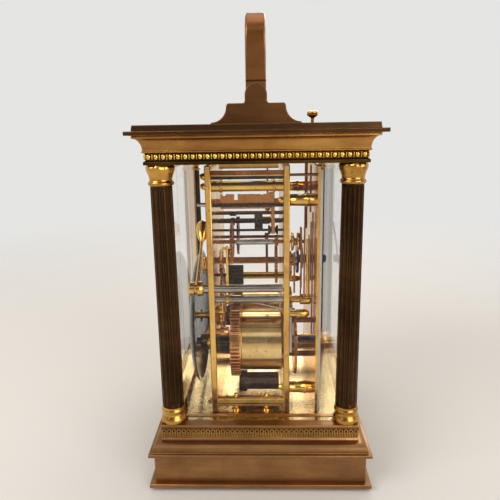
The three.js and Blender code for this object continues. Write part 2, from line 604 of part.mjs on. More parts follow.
add('door_knob', spindle(DOOR_KNOB.outline).translate(-DOOR.halfWidth + DOOR.bar / 2, 0, DOOR_KNOB.z), 'gilt');

// ---- handle, its two posts and the repeat button

function postShape() {
  const { radius } = POST;
  const capSteps = 6;
  const cap = Array.from({ length: capSteps + 1 }, (_, i) => {
    const angle = (i / capSteps) * TURN.half;
    return [radius * Math.cos(angle), HANDLE_PIVOT_Z + radius * Math.sin(angle)];
  });
  const outline = [...POST_SIDE, ...cap, ...POST_SIDE.map(([y, z]) => [-y, z]).reverse()];
  const shape = new THREE.Shape(outline.map(([y, z]) => new THREE.Vector2(y, z)));
  shape.holes.push(hole(0, HANDLE_PIVOT_Z, TRUNNION.hole, SIDES));
  return shape;
}
add('handle_post_left', slabAcross(postShape(), -POST.x - POST.thickness, POST.thickness), 'darkBronze');
add('handle_post_right', slabAcross(postShape(), POST.x, POST.thickness), 'darkBronze');

function handle() {
  const outer = HANDLE.armX + HANDLE.armThickness;
  const inner = HANDLE.armX;
  const cornerSteps = 4;
  const cx = outer - HANDLE.corner;
  const cz = HANDLE.top - HANDLE.corner;
  const corner = (radius) => Array.from({ length: cornerSteps + 1 }, (_, i) => {
    const angle = (i / cornerSteps) * TURN.quarter;
    return [cx + radius * Math.cos(angle), cz + radius * Math.sin(angle)];
  });
  const foot = HANDLE_PIVOT_Z - HANDLE.width / 2;
  const right = [[outer, foot], ...corner(HANDLE.corner)];
  const left = right.map(([x, z]) => [-x, z]).reverse();
  const innerRight = [[inner, foot], ...corner(HANDLE.corner - HANDLE.armThickness)];
  const innerLeft = innerRight.map(([x, z]) => [-x, z]).reverse();
  const outline = [...right, ...left, ...[...innerRight, ...innerLeft].reverse()];
  const shape = new THREE.Shape(outline.map(([x, z]) => new THREE.Vector2(x, z)));
  const bail = slab(shape, HANDLE.width / 2, HANDLE.width);
  const trunnion = (from, to) => rodAlongX(TRUNNION.radius, from, to).translate(0, 0, HANDLE_PIVOT_Z);
  const root = inner + TRUNNION.root;
  const end = POST.x + POST.thickness - TRUNNION.root;
  return join(bail, trunnion(-end, -root), trunnion(root, end));
}
add('handle', handle(), 'copper');

// The button carries a bridge under the top, and the bridge carries the rod to the lever.
function repeatButton() {
  const { x, y, radius, bottom } = REPEAT_ROD;
  const { top, thickness, margin } = REPEAT_BRIDGE;
  const head = upright(spindle(BUTTON_OUTLINE, 10)).translate(0, BUTTON.y, 0);
  const rod = rodAlongZ(radius, bottom, top, 8).translate(x, y, 0);
  const bridge = block([x - thickness, thickness], [BUTTON.y - margin, y + margin], [top - thickness, top]);
  return join(head, bridge, rod);
}
add('repeat_button', repeatButton(), 'gilt');

// ---- plates, pillars and platform

const pivotSpots = [intermediateAt, thirdAt, contrateAt, strikeSecondAt, pinWheelAt, flyAt];
const bothWinders = [goingBarrelAt, strikeBarrelAt];

function movementPlate(extraHoles) {
  const shape = rectangle(PLATE.halfWidth, PLATE.bottom, PLATE.top);
  for (const spot of pivotSpots) shape.holes.push(hole(spot.x, spot.z, PIVOT.hole, 6));
  for (const spot of bothWinders) shape.holes.push(hole(spot.x, spot.z, WINDING.hole, SIDES));
  for (const [spot, radius] of extraHoles) shape.holes.push(hole(spot.x, spot.z, radius));
  return shape;
}
const hammerAt = at(HAMMER.x, HAMMER.z);
add('back_plate', slab(movementPlate([
  [hammerAt, HAMMER.hole], [centreAt, PIVOT.hole], [warningAt, PIVOT.hole],
]), BACK_PLATE_Y + PLATE.thickness, PLATE.thickness), 'brass');
add('front_plate', slab(movementPlate([
  [centreAt, PIVOT.centreHole], [hammerAt, PIVOT.hole], [minuteAt, PIVOT.hole], [warningAt, PIVOT.warningHole],
]), FRONT_PLATE_BACK, PLATE.thickness), 'brass');

function pillar(radius) {
  const { inset, half, height } = PILLAR_RING;
  const length = BACK_PLATE_Y - FRONT_PLATE_BACK;
  const ring = (y) => [[radius, y - half], [radius + height, y], [radius, y + half]];
  return spindle([[radius, 0], ...ring(inset), ...ring(length - inset), [radius, length]], 10)
    .translate(0, FRONT_PLATE_BACK, 0);
}
for (const [side, sx] of [['left', -1], ['right', 1]]) {
  add(`pillar_bottom_${side}`, pillar(PILLAR.lowRadius).translate(sx * PILLAR.x, 0, PILLAR.lowZ), 'gilt');
  add(`pillar_top_${side}`, pillar(PILLAR.highRadius).translate(sx * PILLAR.x, 0, PILLAR.highZ), 'gilt');
}

function platform() {
  const { halfWidth, back, front, bottom, thickness, staffHole } = PLATFORM;
  const top = bottom + thickness;
  const tray = block([-halfWidth, halfWidth], [front, back], [bottom, top]);
  const escapeHole = rodAlongZ(staffHole, bottom - OVERCUT, top + OVERCUT, 8).translate(0, ESCAPE.y, 0);
  return cut(tray, escapeHole);
}
add('platform', platform(), 'brass');

// ---- dial

const alarmAt = at(0, ALARM_Z);
function dialShape(margin) {
  const shape = rectangle(DIAL_PLATE.halfWidth - margin, DIAL_PLATE.bottom + margin, DIAL_PLATE.top - margin);
  shape.holes.push(hole(centreAt.x, centreAt.z, DIAL_HOLE.hands, SIDES));
  shape.holes.push(hole(alarmAt.x, alarmAt.z, DIAL_HOLE.alarm));
  return shape;
}
function dialPlate() {
  const sheet = slab(dialShape(0), DIAL_PLATE.back, DIAL_PLATE.back - DIAL_PLATE.front);
  const { x, lowZ, highZ, radius, root } = DIAL_POST;
  const post = () => rodAlongY(radius, DIAL_PLATE.back - root, FRONT_PLATE_Y, 10);
  const posts = [lowZ, highZ].flatMap((z) => [post().translate(-x, 0, z), post().translate(x, 0, z)]);
  return join(sheet, ...posts);
}
add('dial_plate', dialPlate(), 'brass');
add('dial', slab(dialShape(DIAL.margin), DIAL_PLATE.front, DIAL_PLATE.front - DIAL.front), 'enamel');

// ---- bell

function bell() {
  const { z, radius, rimY, rise, wall, keyHole } = BELL;
  const steps = 5;
  const crown = rimY + rise;
  const dome = (domeRadius, domeRise) => Array.from({ length: steps + 1 }, (_, i) => {
    const angle = (i / steps) * TURN.quarter;
    return [i === steps ? 0 : domeRadius * Math.cos(angle), rimY + domeRise * Math.sin(angle)];
  });
  const outer = dome(radius, rise);
  const inner = dome(radius - wall, rise - wall).reverse();
  const shell = turned([...outer, ...inner, outer[0]], 20).translate(0, 0, z);
  const key = (x) => rodAlongY(keyHole, rimY - OVERCUT, crown + OVERCUT).translate(x, 0, BARREL.z);
  const stud = rodAlongY(BELL_STUD.radius, BACK_PLATE_Y + PLATE.thickness, BELL_STUD.end, 8);
  return join(cut(shell, key(-BARREL.x), key(BARREL.x)), stud.translate(0, 0, z));
}
add('bell', bell(), 'bellMetal');

// ---- barrels and winding arbors

function barrel(spot) {
  const shape = toothedShape(greatGear);
  shape.holes.push(hole(0, 0, BARREL.bore, SIDES));
  const drumBack = GREAT.y - GREAT.thickness + BARREL.seat;
  const drum = turned([
    [BARREL.bore, BARREL.drumFront], [BARREL.drumRadius, BARREL.drumFront], [BARREL.drumRadius, drumBack],
    [BARREL.bore, drumBack], [BARREL.bore, BARREL.drumFront],
  ], 24);
  return place(join(slab(shape, GREAT.y, GREAT.thickness), drum), spot);
}
add('going_barrel', barrel(goingBarrelAt), 'brass');
add('strike_barrel', barrel(strikeBarrelAt), 'brass');

// Saw teeth: each tooth falls back to its root over LEAN of its pitch.
const LEAN = 0.3;
function ratchetOutline(teeth, radius, depth) {
  return new THREE.Shape(Array.from({ length: teeth }, (_, i) => [
    ...polygonPoints(0, 0, radius, 1, (i * TURN.full) / teeth),
    ...polygonPoints(0, 0, radius - depth, 1, ((i + LEAN) * TURN.full) / teeth),
  ]).flat());
}

function windingArbor(spot) {
  const { radius, front, square, end } = WINDING;
  const { radius: collar, from, to } = WINDING_COLLAR;
  const shaft = spindle([[radius, front], [radius, from], [collar, from], [collar, to]]);
  const squareEnd = rodAlongY(square, to - OVERLAP, end, 4);
  const ratchet = ratchetOutline(RATCHET.teeth, RATCHET.radius, RATCHET.depth);
  return place(join(shaft, squareEnd, slab(ratchet, RATCHET.back, RATCHET.thickness)), spot);
}
add('going_arbor', windingArbor(goingBarrelAt), 'steel');
add('strike_arbor', windingArbor(strikeBarrelAt), 'steel');

add('alarm_barrel', spindle(ALARM_BARREL.outline, 16).translate(ALARM_BARREL.x, 0, ALARM_BARREL.z), 'copper');

// ---- going train

// A pinion stands a little behind or in front of the wheel that drives it, to cover its teeth.
const LEAF_MARGIN = 0.2;
const leavesOver = (gear, wheelBack, thickness) =>
  pinion(gear, wheelBack + LEAF_MARGIN, thickness + 2 * LEAF_MARGIN);

function intermediateArbor(pinionGear, wheelBack, spot) {
  const leaves = leavesOver(pinionGear, GREAT.y, GREAT.thickness);
  return place(join(arbor(), leaves, wheel(intermediateGear, wheelBack, THIN_WHEEL)), spot);
}
add('intermediate_wheel', intermediateArbor(
  meshed(greatGear, goingBarrelAt, firstPinion, intermediateAt), WHEEL_BACK.intermediate, intermediateAt,
), 'brass');

const centreLeaves = meshed(intermediateGear, intermediateAt, secondPinion, centreAt);
add('centre_wheel', place(join(
  arbor({ front: false, from: CENTRE_ARBOR.front, radius: CENTRE_ARBOR.radius }),
  leavesOver(centreLeaves, WHEEL_BACK.intermediate, THIN_WHEEL),
  wheel(centreGear, WHEEL_BACK.centre, THICK_WHEEL),
  pinion(cannonGear, CENTRE_ARBOR.cannonBack, CENTRE_ARBOR.cannonLength),
), centreAt), 'brass');

add('third_wheel', place(join(
  arbor(),
  pinion(meshed(centreGear, centreAt, thirdPinion, thirdAt), WHEEL_BACK.centre + 2 * LEAF_MARGIN, LEAF_LENGTH),
  wheel(thirdGear, WHEEL_BACK.third, THIN_WHEEL),
), thirdAt), 'brass');

function contrateWheel() {
  const { radius, teeth, back, rimFloor, tips, rim, slot } = CONTRATE;
  const disc = rodAlongY(radius, back, rimFloor, teeth);
  const root = rimFloor - OVERLAP;
  const inner = radius - rim;
  const crown = turned([[inner, root], [radius, root], [radius, tips], [inner, tips], [inner, root]], teeth);
  const reach = radius + OVERCUT;
  const slots = Array.from({ length: teeth / 2 }, (_, i) =>
    block([-reach, reach], [rimFloor, tips + OVERCUT], [-slot, slot]).rotateY((i * TURN.full) / teeth));
  return cut(join(disc, crown), ...slots);
}
const contrateLeaves = meshed(thirdGear, thirdAt, contratePinion, contrateAt);
add('contrate_wheel', place(join(
  arbor(), contrateWheel(), pinion(contrateLeaves, WHEEL_BACK.third + LEAF_MARGIN, LEAF_LENGTH),
), contrateAt), 'brass');

const raised = (shape, height, z) =>
  closed(new THREE.ExtrudeGeometry(shape, { depth: height, bevelEnabled: false })).translate(0, 0, z);

function escapeWheel() {
  const { y, z, radius, teeth, depth, thickness, staff, bottom } = ESCAPE;
  const { count, radius: leafRadius, length } = ESCAPE_LEAVES;
  const leafGear = { teeth: count, module: (2 * leafRadius) / (count + 2 * TOOTH.addendum) };
  const disc = raised(ratchetOutline(teeth, radius, depth), thickness, z);
  const leaves = raised(toothedShape(leafGear, true), length, bottom + OVERLAP);
  return join(disc, rodAlongZ(staff, bottom, z + STAFF_END, 8), leaves).translate(0, y, 0);
}
add('escape_wheel', escapeWheel(), 'brass');

function balanceWheel() {
  const { y, z, radius, rim, height, arm, staff, top } = BALANCE;
  const inner = radius - rim;
  const section = [[inner, z], [radius, z], [radius, z + height], [inner, z + height], [inner, z]];
  const hoop = upright(turned(section, 20));
  const reach = inner + OVERLAP;
  const bar = block([-reach, reach], [-arm, arm], [z + BAR_INSET, z + height - BAR_INSET]);
  const foot = PLATFORM.bottom + PLATFORM.thickness + END_SHAKE;
  return join(hoop, bar, rodAlongZ(staff, foot, top, 8)).translate(0, y, 0);
}
add('balance_wheel', balanceWheel(), 'gilt');

// ---- motion work and hands

function minuteWheel() {
  const wheelGear = meshed(cannonGear, centreAt, minuteGear, minuteAt);
  const { front, radius, pinionBack, pinionLength } = MINUTE_ARBOR;
  const shoulder = FRONT_PLATE_Y - 2 * LEAF_MARGIN;
  const pivotEnd = FRONT_PLATE_Y + PIVOT.length - 2 * LEAF_MARGIN;
  const staff = spindle([
    [radius, front], [radius, shoulder], [PIVOT.radius, shoulder], [PIVOT.radius, pivotEnd],
  ], 8);
  return place(join(
    staff, wheel(wheelGear, WHEEL_BACK.minute, THIN_WHEEL, 0), pinion(minutePinion, pinionBack, pinionLength),
  ), minuteAt);
}
add('minute_wheel', minuteWheel(), 'brass');

// A hand lies in X and Z with its boss at the origin and points along +Z.
function handShape({ length, waist, boss, tail, bore }) {
  const { stem, neck, tip, shoulder, narrow } = HAND_FORM;
  const { from, at: widest, to } = HAND_SWELL;
  const side = [
    [stem * shoulder, -tail], [boss, -boss * shoulder], [boss, boss * shoulder], [stem, boss + neck],
    [stem, length * from], [waist, length * widest], [narrow, length * to], [tip, length],
  ];
  const outline = [...side, ...side.map(([x, z]) => [-x, z]).reverse()];
  const shape = new THREE.Shape(outline.map(([x, z]) => new THREE.Vector2(x, z)));
  if (bore) shape.holes.push(hole(0, 0, bore, SIDES));
  return shape;
}
const hand = (form) => slab(handShape(form), form.back, HAND_THICKNESS).rotateY(form.angle);

function hourHand() {
  const shape = toothedShape(meshed(minutePinion, minuteAt, hourGear, centreAt));
  const { bore, back } = HOUR_HAND;
  shape.holes.push(hole(0, 0, bore, SIDES));
  const [low, high] = [back - HAND_THICKNESS, HOUR_WHEEL.back - LEAF_MARGIN];
  const tube = turned([[bore, low], [HOUR_PIPE, low], [HOUR_PIPE, high], [bore, high], [bore, low]]);
  return place(join(slab(shape, HOUR_WHEEL.back, HOUR_WHEEL.thickness), tube, hand(HOUR_HAND)), centreAt);
}
add('hour_hand', hourHand(), 'bluedSteel');
add('minute_hand', place(join(hand(MINUTE_HAND), turned(MINUTE_COLLET)), centreAt), 'bluedSteel');
add('alarm_hand', place(join(hand(ALARM_HAND), spindle(ALARM_COLLET, 10)), alarmAt), 'bluedSteel');

// ---- strike train

add('strike_second_wheel', intermediateArbor(
  meshed(greatGear, strikeBarrelAt, firstPinion, strikeSecondAt), WHEEL_BACK.strikeSecond, strikeSecondAt,
), 'brass');

const pinLeaves = meshed(intermediateGear, strikeSecondAt, secondPinion, pinWheelAt);
add('pin_wheel', place(join(
  arbor(),
  leavesOver(pinLeaves, WHEEL_BACK.strikeSecond, THIN_WHEEL),
  wheel(pinGear, WHEEL_BACK.pin, THICK_WHEEL),
), pinWheelAt), 'brass');

add('warning_wheel', place(join(
  arbor({ front: false, from: WARNING_FRONT }),
  pinion(meshed(pinGear, pinWheelAt, warningPinion, warningAt), WHEEL_BACK.pin + LEAF_MARGIN, LEAF_LENGTH),
  wheel(warningGear, WHEEL_BACK.warning, THICK_WHEEL),
  spindle(WARNING_DISCS),
), warningAt), 'brass');

function fly() {
  const { vane, front, back, half, angle } = FLY;
  const flyLeaves = meshed(warningGear, warningAt, flyPinion, flyAt);
  const leaves = pinion(flyLeaves, WHEEL_BACK.warning + LEAF_MARGIN, LEAF_LENGTH);
  const hub = rodAlongY(FLY_HUB.radius, FLY_HUB.front, front + OVERLAP, 8);
  const vanes = block([-vane, vane], [front, back], [-half, half]).rotateY(angle);
  return place(join(arbor(), leaves, hub, vanes), flyAt);
}
add('fly', fly(), 'copper');

function hammer() {
  const { x, z, radius, headX, armY, headZ } = HAMMER;
  const tip = FRONT_PLATE_BACK - 4 * END_SHAKE;
  const shoulder = FRONT_PLATE_BACK + END_SHAKE;
  const boss = HAMMER_BOSS;
  const axle = spindle([
    [PIVOT.radius, tip], [PIVOT.radius, shoulder], [radius, shoulder], [radius, boss.from],
    [boss.radius, boss.from], [boss.radius, boss.to],
  ]).translate(x, 0, z);
  const lifter = HAMMER_LIFTER;
  const height = [z + lifter.foot, z + lifter.top];
  const bar = block([x - lifter.half, x + lifter.half], [lifter.from, lifter.to], height);
  const reach = Math.hypot(headX - x, headZ - z);
  const outline = HAMMER_ARM.outline.map(([r, along]) => [r, reach + along]);
  const arm = upright(spindle([[HAMMER_ARM.root, 0], ...outline], 10))
    .rotateY(Math.atan2(headX - x, headZ - z))
    .translate(x, armY, z);
  return join(axle, bar, arm);
}
add('hammer', hammer(), 'gilt');

function repeatLever() {
  const { x, z, top, back, front, half } = LEVER;
  return join(spindle(LEVER_HUB).translate(x, 0, z), block([x - half, x + half], [front, back], [z, top]));
}
add('repeat_lever', repeatLever(), 'brass');

export default clock;
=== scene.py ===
"""Looks of the brass carriage clock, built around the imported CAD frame.

Lengths in this file are millimetres; mesh helpers turn them into metres. Places come from the
boxes of the CAD nodes and from the record's joints.
"""
import json
import math

import bmesh
import bpy
from mathutils import Matrix, Vector


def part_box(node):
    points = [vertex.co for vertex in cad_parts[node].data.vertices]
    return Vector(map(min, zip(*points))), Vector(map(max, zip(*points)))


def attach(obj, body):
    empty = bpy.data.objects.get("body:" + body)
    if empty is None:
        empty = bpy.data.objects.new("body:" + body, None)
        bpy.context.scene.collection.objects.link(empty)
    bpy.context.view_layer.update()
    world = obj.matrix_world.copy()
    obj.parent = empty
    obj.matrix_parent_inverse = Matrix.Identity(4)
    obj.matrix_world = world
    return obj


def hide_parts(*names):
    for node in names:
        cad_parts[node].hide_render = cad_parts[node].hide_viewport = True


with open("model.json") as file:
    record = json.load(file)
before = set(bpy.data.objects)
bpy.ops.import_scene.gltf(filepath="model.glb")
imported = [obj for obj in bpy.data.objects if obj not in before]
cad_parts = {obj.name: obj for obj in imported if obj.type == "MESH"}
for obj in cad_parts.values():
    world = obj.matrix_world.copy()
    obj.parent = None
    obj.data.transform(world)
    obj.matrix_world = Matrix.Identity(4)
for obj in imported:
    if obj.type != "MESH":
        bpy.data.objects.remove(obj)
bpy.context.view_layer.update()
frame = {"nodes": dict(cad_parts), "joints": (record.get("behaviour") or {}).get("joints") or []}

MM = 0.001
FULL = 2 * math.pi


# ------------------------------------------------------------------ places from the frame

class Box:
    """A CAD node's box, in millimetres."""

    def __init__(self, node):
        low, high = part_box(node)
        self.low = low / MM
        self.high = high / MM
        self.mid = (self.low + self.high) / 2
        self.size = self.high - self.low


def joint_spot(name):
    """A joint's pivot in millimetres."""
    joint = next(j for j in frame["joints"] if j["name"] == name)
    return Vector(joint["pos_m"]) / MM


# ------------------------------------------------------------------ material helpers

class Nodes:
    """A material's node tree with short ways to add and join nodes."""

    def __init__(self, name):
        self.material = bpy.data.materials.new(name)
        self.material.use_nodes = True
        self.tree = self.material.node_tree
        self.shader = self.tree.nodes["Principled BSDF"]
        self.place = self.add("ShaderNodeTexCoord").outputs["Object"]

    def add(self, kind, **inputs):
        node = self.tree.nodes.new(kind)
        for key, value in inputs.items():
            self.put(node.inputs[key.replace("_", " ")], value)
        return node

    def put(self, socket, value):
        if isinstance(value, bpy.types.NodeSocket):
            self.tree.links.new(value, socket)
        else:
            socket.default_value = value

    def noise(self, scale, detail=3.0, stretch=(1, 1, 1), roughness=0.55):
        mapping = self.add("ShaderNodeMapping", Vector=self.place, Scale=stretch)
        node = self.add("ShaderNodeTexNoise", Vector=mapping.outputs[0], Scale=scale)
        node.inputs["Detail"].default_value = detail
        node.inputs["Roughness"].default_value = roughness
        return node.outputs["Fac"]

    def ramp(self, fac, stops):
        node = self.add("ShaderNodeValToRGB", Fac=fac)
        elements = node.color_ramp.elements
        while len(elements) < len(stops):
            elements.new(0.5)
        for element, (position, color) in zip(elements, stops):
            element.position = position
            grey = isinstance(color, (int, float))
            element.color = (color, color, color, 1) if grey else (*color, 1)
        return node.outputs["Color"]

    def mix(self, fac, a, b):
        node = self.add("ShaderNodeMix")
        node.data_type = "RGBA"
        self.put(node.inputs["Factor"], fac)
        for socket, value in ((node.inputs[6], a), (node.inputs[7], b)):
            self.put(socket, value if isinstance(value, bpy.types.NodeSocket) else (*value, 1))
        return node.outputs[2]

    def math(self, operation, a, b=0.0):
        node = self.add("ShaderNodeMath")
        node.operation = operation
        self.put(node.inputs[0], a)
        self.put(node.inputs[1], b)
        return node.outputs[0]

    def bump(self, height, distance, strength=0.5):
        node = self.add("ShaderNodeBump", Height=height, Distance=distance, Strength=strength)
        self.put(self.shader.inputs["Normal"], node.outputs[0])

    def edges(self, radius):
        """White near edges: where a rounded normal leaves the true one."""
        bevel = self.tree.nodes.new("ShaderNodeBevel")
        bevel.samples = 4
        bevel.inputs["Radius"].default_value = radius
        geometry = self.tree.nodes.new("ShaderNodeNewGeometry")
        dot = self.tree.nodes.new("ShaderNodeVectorMath")
        dot.operation = "DOT_PRODUCT"
        self.tree.links.new(bevel.outputs[0], dot.inputs[0])
        self.tree.links.new(geometry.outputs["Normal"], dot.inputs[1])
        return self.ramp(dot.outputs["Value"], [(0.80, 1.0), (0.985, 0.0)])

    def surface(self, metallic, **sockets):
        self.shader.inputs["Metallic"].default_value = metallic
        for key, value in sockets.items():
            self.put(self.shader.inputs[key.replace("_", " ")], value)
        return self.material


def srgb(red, green, blue):
    """A display colour, 0 to 255, as linear light."""
    def linear(value):
        value /= 255
        return value / 12.92 if value <= 0.04045 else ((value + 0.055) / 1.055) ** 2.4
    return tuple(linear(v) for v in (red, green, blue))


def polished_metal(name, light, dark, rough=(0.12, 0.3), grain=(1, 1, 1), bump=0.00002):
    """Polished metal with cloudy tone, fine brush lines along the grain and small marks.
    Colours are display colours, 0 to 255."""
    n = Nodes(name)
    light, dark = srgb(*light), srgb(*dark)
    cloud = n.noise(70, 4)
    lines = n.noise(900, 2, grain)
    tone = n.mix(n.ramp(cloud, [(0.32, 0.0), (0.68, 1.0)]), dark, light)
    marks = n.ramp(n.noise(420, 5), [(0.60, 0.0), (0.72, 0.55)])
    color = n.mix(marks, tone, tuple(c * 0.55 for c in dark))
    roughness = n.ramp(lines, [(0.3, rough[0]), (0.7, rough[1])])
    n.bump(lines, bump, 0.35)
    return n.surface(1.0, Base_Color=color, Roughness=roughness)


def aged_bronze(name, light, dark, edge, rough=(0.3, 0.5), wear=0.9):
    """Lacquered bronze gone brown, with dark clouding, pits, and bright metal at worn edges."""
    n = Nodes(name)
    light, dark, edge = srgb(*light), srgb(*dark), srgb(*edge)
    cloud = n.ramp(n.noise(38, 5), [(0.34, 0.0), (0.66, 1.0)])
    streaks = n.ramp(n.noise(260, 4, (0.25, 0.25, 1.6)), [(0.35, 0.0), (0.75, 1.0)])
    tone = n.mix(cloud, dark, light)
    tone = n.mix(n.math("MULTIPLY", streaks, 0.35), tone, tuple(c * 0.6 for c in dark))
    specks = n.ramp(n.noise(1500, 3), [(0.66, 0.0), (0.72, 0.8)])
    tone = n.mix(specks, tone, tuple(c * 0.4 for c in dark))
    worn = n.math("MULTIPLY", n.edges(0.0005), wear)
    broken = n.ramp(n.noise(300, 4), [(0.3, 0.45), (0.6, 1.0)])
    color = n.mix(n.math("MULTIPLY", worn, broken), tone, edge)
    roughness = n.ramp(cloud, [(0.0, rough[1]), (1.0, rough[0])])
    n.bump(n.noise(800, 4), 0.00004, 0.35)
    return n.surface(1.0, Base_Color=color, Roughness=roughness)


def clear_glass(name, tint, head_on=0.012):
    """Thin clear glass: a faint mirror head on, a strong one at a slant, and otherwise clear."""
    n = Nodes(name)
    slant = n.add("ShaderNodeLayerWeight", Blend=0.5).outputs["Facing"]
    mirror = n.math("MULTIPLY", n.math("POWER", slant, 5.0), 0.85)
    haze = n.ramp(n.noise(30, 3), [(0.3, head_on), (0.8, head_on * 2)])
    alpha = n.math("ADD", mirror, haze)
    n.shader.inputs["Roughness"].default_value = 0.02
    color = n.mix(n.noise(12, 2), tint, tuple(c * 0.96 for c in tint))
    return n.surface(1.0, Base_Color=color, Alpha=alpha)


def enamel(name):
    """Fired white enamel with the faint ripple and specks that it has."""
    n = Nodes(name)
    tone = n.mix(n.noise(60, 3), srgb(243, 240, 232), srgb(232, 228, 217))
    specks = n.ramp(n.noise(1700, 2), [(0.70, 0.0), (0.76, 0.35)])
    n.bump(n.noise(120, 2), 0.00004, 0.2)
    color = n.mix(specks, tone, srgb(150, 140, 120))
    roughness = n.ramp(n.noise(90, 2), [(0.3, 0.1), (0.7, 0.18)])
    return n.surface(0.0, Base_Color=color, Roughness=roughness)


def printed_black(name):
    n = Nodes(name)
    color = n.mix(n.noise(500, 3), srgb(18, 17, 18), srgb(34, 32, 32))
    roughness = n.ramp(n.noise(700, 2), [(0.3, 0.3), (0.7, 0.5)])
    return n.surface(0.0, Base_Color=color, Roughness=roughness)


ACROSS = (1, 12, 1)
UPRIGHT = (8, 8, 0.6)
ROUND_A_DRUM = (1, 0.08, 14)

CASE_BRONZE = aged_bronze("case_bronze", (172, 128, 84), (134, 94, 60), (226, 180, 96))
TOP_BRONZE = aged_bronze("top_bronze", (96, 66, 42), (62, 43, 26), (190, 136, 82), wear=0.75)
CORNICE_BRONZE = aged_bronze("cornice_bronze", (196, 146, 78), (150, 98, 52), (226, 180, 100),
                             rough=(0.22, 0.38))
POST_BRONZE = aged_bronze("post_bronze", (122, 82, 48), (88, 60, 36), (200, 150, 92))
HANDLE_BRONZE = aged_bronze("handle_bronze", (152, 100, 58), (108, 70, 40), (214, 162, 98))
SHAFT_BRONZE = aged_bronze("shaft_bronze", (76, 54, 33), (46, 32, 20), (150, 104, 60), wear=0.6)
BAND_DARK = aged_bronze("band_dark", (96, 70, 34), (54, 38, 20), (170, 124, 56), wear=0.4)
GILT = polished_metal("gilt_brass", (246, 204, 104), (214, 164, 70), (0.1, 0.22))
COLUMN_GILT = polished_metal("column_gilt", (214, 164, 82), (160, 114, 54), (0.16, 0.34))
SILL_BRONZE = aged_bronze("sill_bronze", (226, 178, 124), (190, 142, 92), (240, 200, 140),
                          rough=(0.4, 0.55))
BRASS = polished_metal("movement_brass", (236, 192, 108), (198, 148, 74), (0.14, 0.26), ACROSS)
DRUM_BRASS = polished_metal("drum_brass", (250, 222, 158), (226, 184, 112), (0.1, 0.2), ROUND_A_DRUM)
FLOOR_BRASS = polished_metal("floor_brass", (226, 202, 148), (200, 168, 112), (0.16, 0.3))
PLATE_BRASS = polished_metal("plate_brass", (240, 196, 104), (206, 152, 72), (0.14, 0.28), UPRIGHT)
COPPER_BRASS = polished_metal("copper_brass", (218, 160, 98), (176, 116, 66), (0.14, 0.28), ACROSS)
WHEEL_GOLD = polished_metal("wheel_gold", (238, 188, 120), (202, 146, 86), (0.12, 0.24), ACROSS)
COPPER_SHEET = polished_metal("copper_sheet", (196, 134, 76), (176, 116, 66), (0.2, 0.34),
                              bump=0.000003)
BROWN_BRASS = polished_metal("brown_brass", (176, 112, 62), (124, 74, 42), (0.16, 0.3), UPRIGHT)
STEEL = polished_metal("polished_steel", (196, 192, 186), (150, 146, 140), (0.12, 0.24), ACROSS)
WHITE_STEEL = polished_metal("white_steel", (236, 234, 230), (206, 204, 200), (0.12, 0.24))
DARK_STEEL = polished_metal("dark_steel", (92, 84, 76), (54, 48, 42), (0.2, 0.34), ACROSS)
# Brass of the alarm barrel, coloured darker than the other brass: painted shade for its place in the shadow
# between the plates.
SHADED_BRASS = polished_metal("brass_painted_shade", (128, 100, 92), (88, 66, 62), (0.2, 0.36), ACROSS)
BLUED = polished_metal("blued_steel", (48, 62, 120), (24, 30, 66), (0.14, 0.24))
BELL_METAL = polished_metal("bell_metal", (92, 98, 98), (56, 62, 62), (0.14, 0.28))
GLASS = clear_glass("clear_glass", (0.97, 1.0, 0.99))
ENAMEL = enamel("white_enamel")
BLACK = printed_black("black_enamel")

# ------------------------------------------------------------------ mesh helpers


def piece(name, vertices, faces, material, body="case", bevel=0.0, smooth=35, replaces=()):
    """A mesh piece from millimetre vertices, bevelled, smoothed and riding on its body."""
    mesh = bpy.data.meshes.new(name)
    mesh.from_pydata([tuple(c * MM for c in v) for v in vertices], [], faces)
    obj = bpy.data.objects.new(name, mesh)
    bpy.context.scene.collection.objects.link(obj)
    edit = bmesh.new()
    edit.from_mesh(mesh)
    bmesh.ops.remove_doubles(edit, verts=edit.verts, dist=1e-7)
    bmesh.ops.recalc_face_normals(edit, faces=edit.faces)
    edit.to_mesh(mesh)
    edit.free()
    if bevel:
        modifier = obj.modifiers.new("worn_edges", "BEVEL")
        modifier.width = bevel * MM
        modifier.segments = 2
        modifier.limit_method = "ANGLE"
        modifier.angle_limit = math.radians(35)
        modifier.use_clamp_overlap = True
    for polygon in mesh.polygons:
        polygon.use_smooth = True
    mesh.set_sharp_from_angle(angle=math.radians(smooth))
    mesh.materials.append(material)
    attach(obj, body)
    if replaces:
        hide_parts(*replaces)
    return obj


def turned(profile, sides=48, lobes=None):
    """Vertices and faces of a solid of revolution about Z. lobes(radius, height, angle) may
    change a point's radius. The profile starts and ends on the axis, or closes on itself."""
    vertices, faces = [], []
    on_axis = profile[0][0] == 0 and profile[-1][0] == 0
    rings = profile[1:-1] if on_axis else profile
    for radius, height in rings:
        for i in range(sides):
            angle = FULL * i / sides
            r = lobes(radius, height, angle) if lobes else radius
            vertices.append((r * math.cos(angle), r * math.sin(angle), height))
    count = len(rings) - 1 if on_axis else len(rings)
    for k in range(count):
        a, b = k * sides, ((k + 1) % len(rings)) * sides
        for i in range(sides):
            j = (i + 1) % sides
            faces.append((a + i, a + j, b + j, b + i))
    if on_axis:
        faces.append(tuple(range(sides))[::-1])
        last = (len(rings) - 1) * sides
        faces.append(tuple(range(last, last + sides)))
    return vertices, faces


def moved(solid, offset=(0, 0, 0), axis="Z", turn=0.0):
    """A solid drawn about Z, laid along another axis, turned about it and moved."""
    lay = {"Z": Matrix.Identity(3), "Y": Matrix.Rotation(-math.pi / 2, 3, "X"),
           "X": Matrix.Rotation(math.pi / 2, 3, "Y")}[axis]
    spin = Matrix.Rotation(turn, 3, "Z")
    vertices, faces = solid
    return [tuple(lay @ (spin @ Vector(v)) + Vector(offset)) for v in vertices], faces


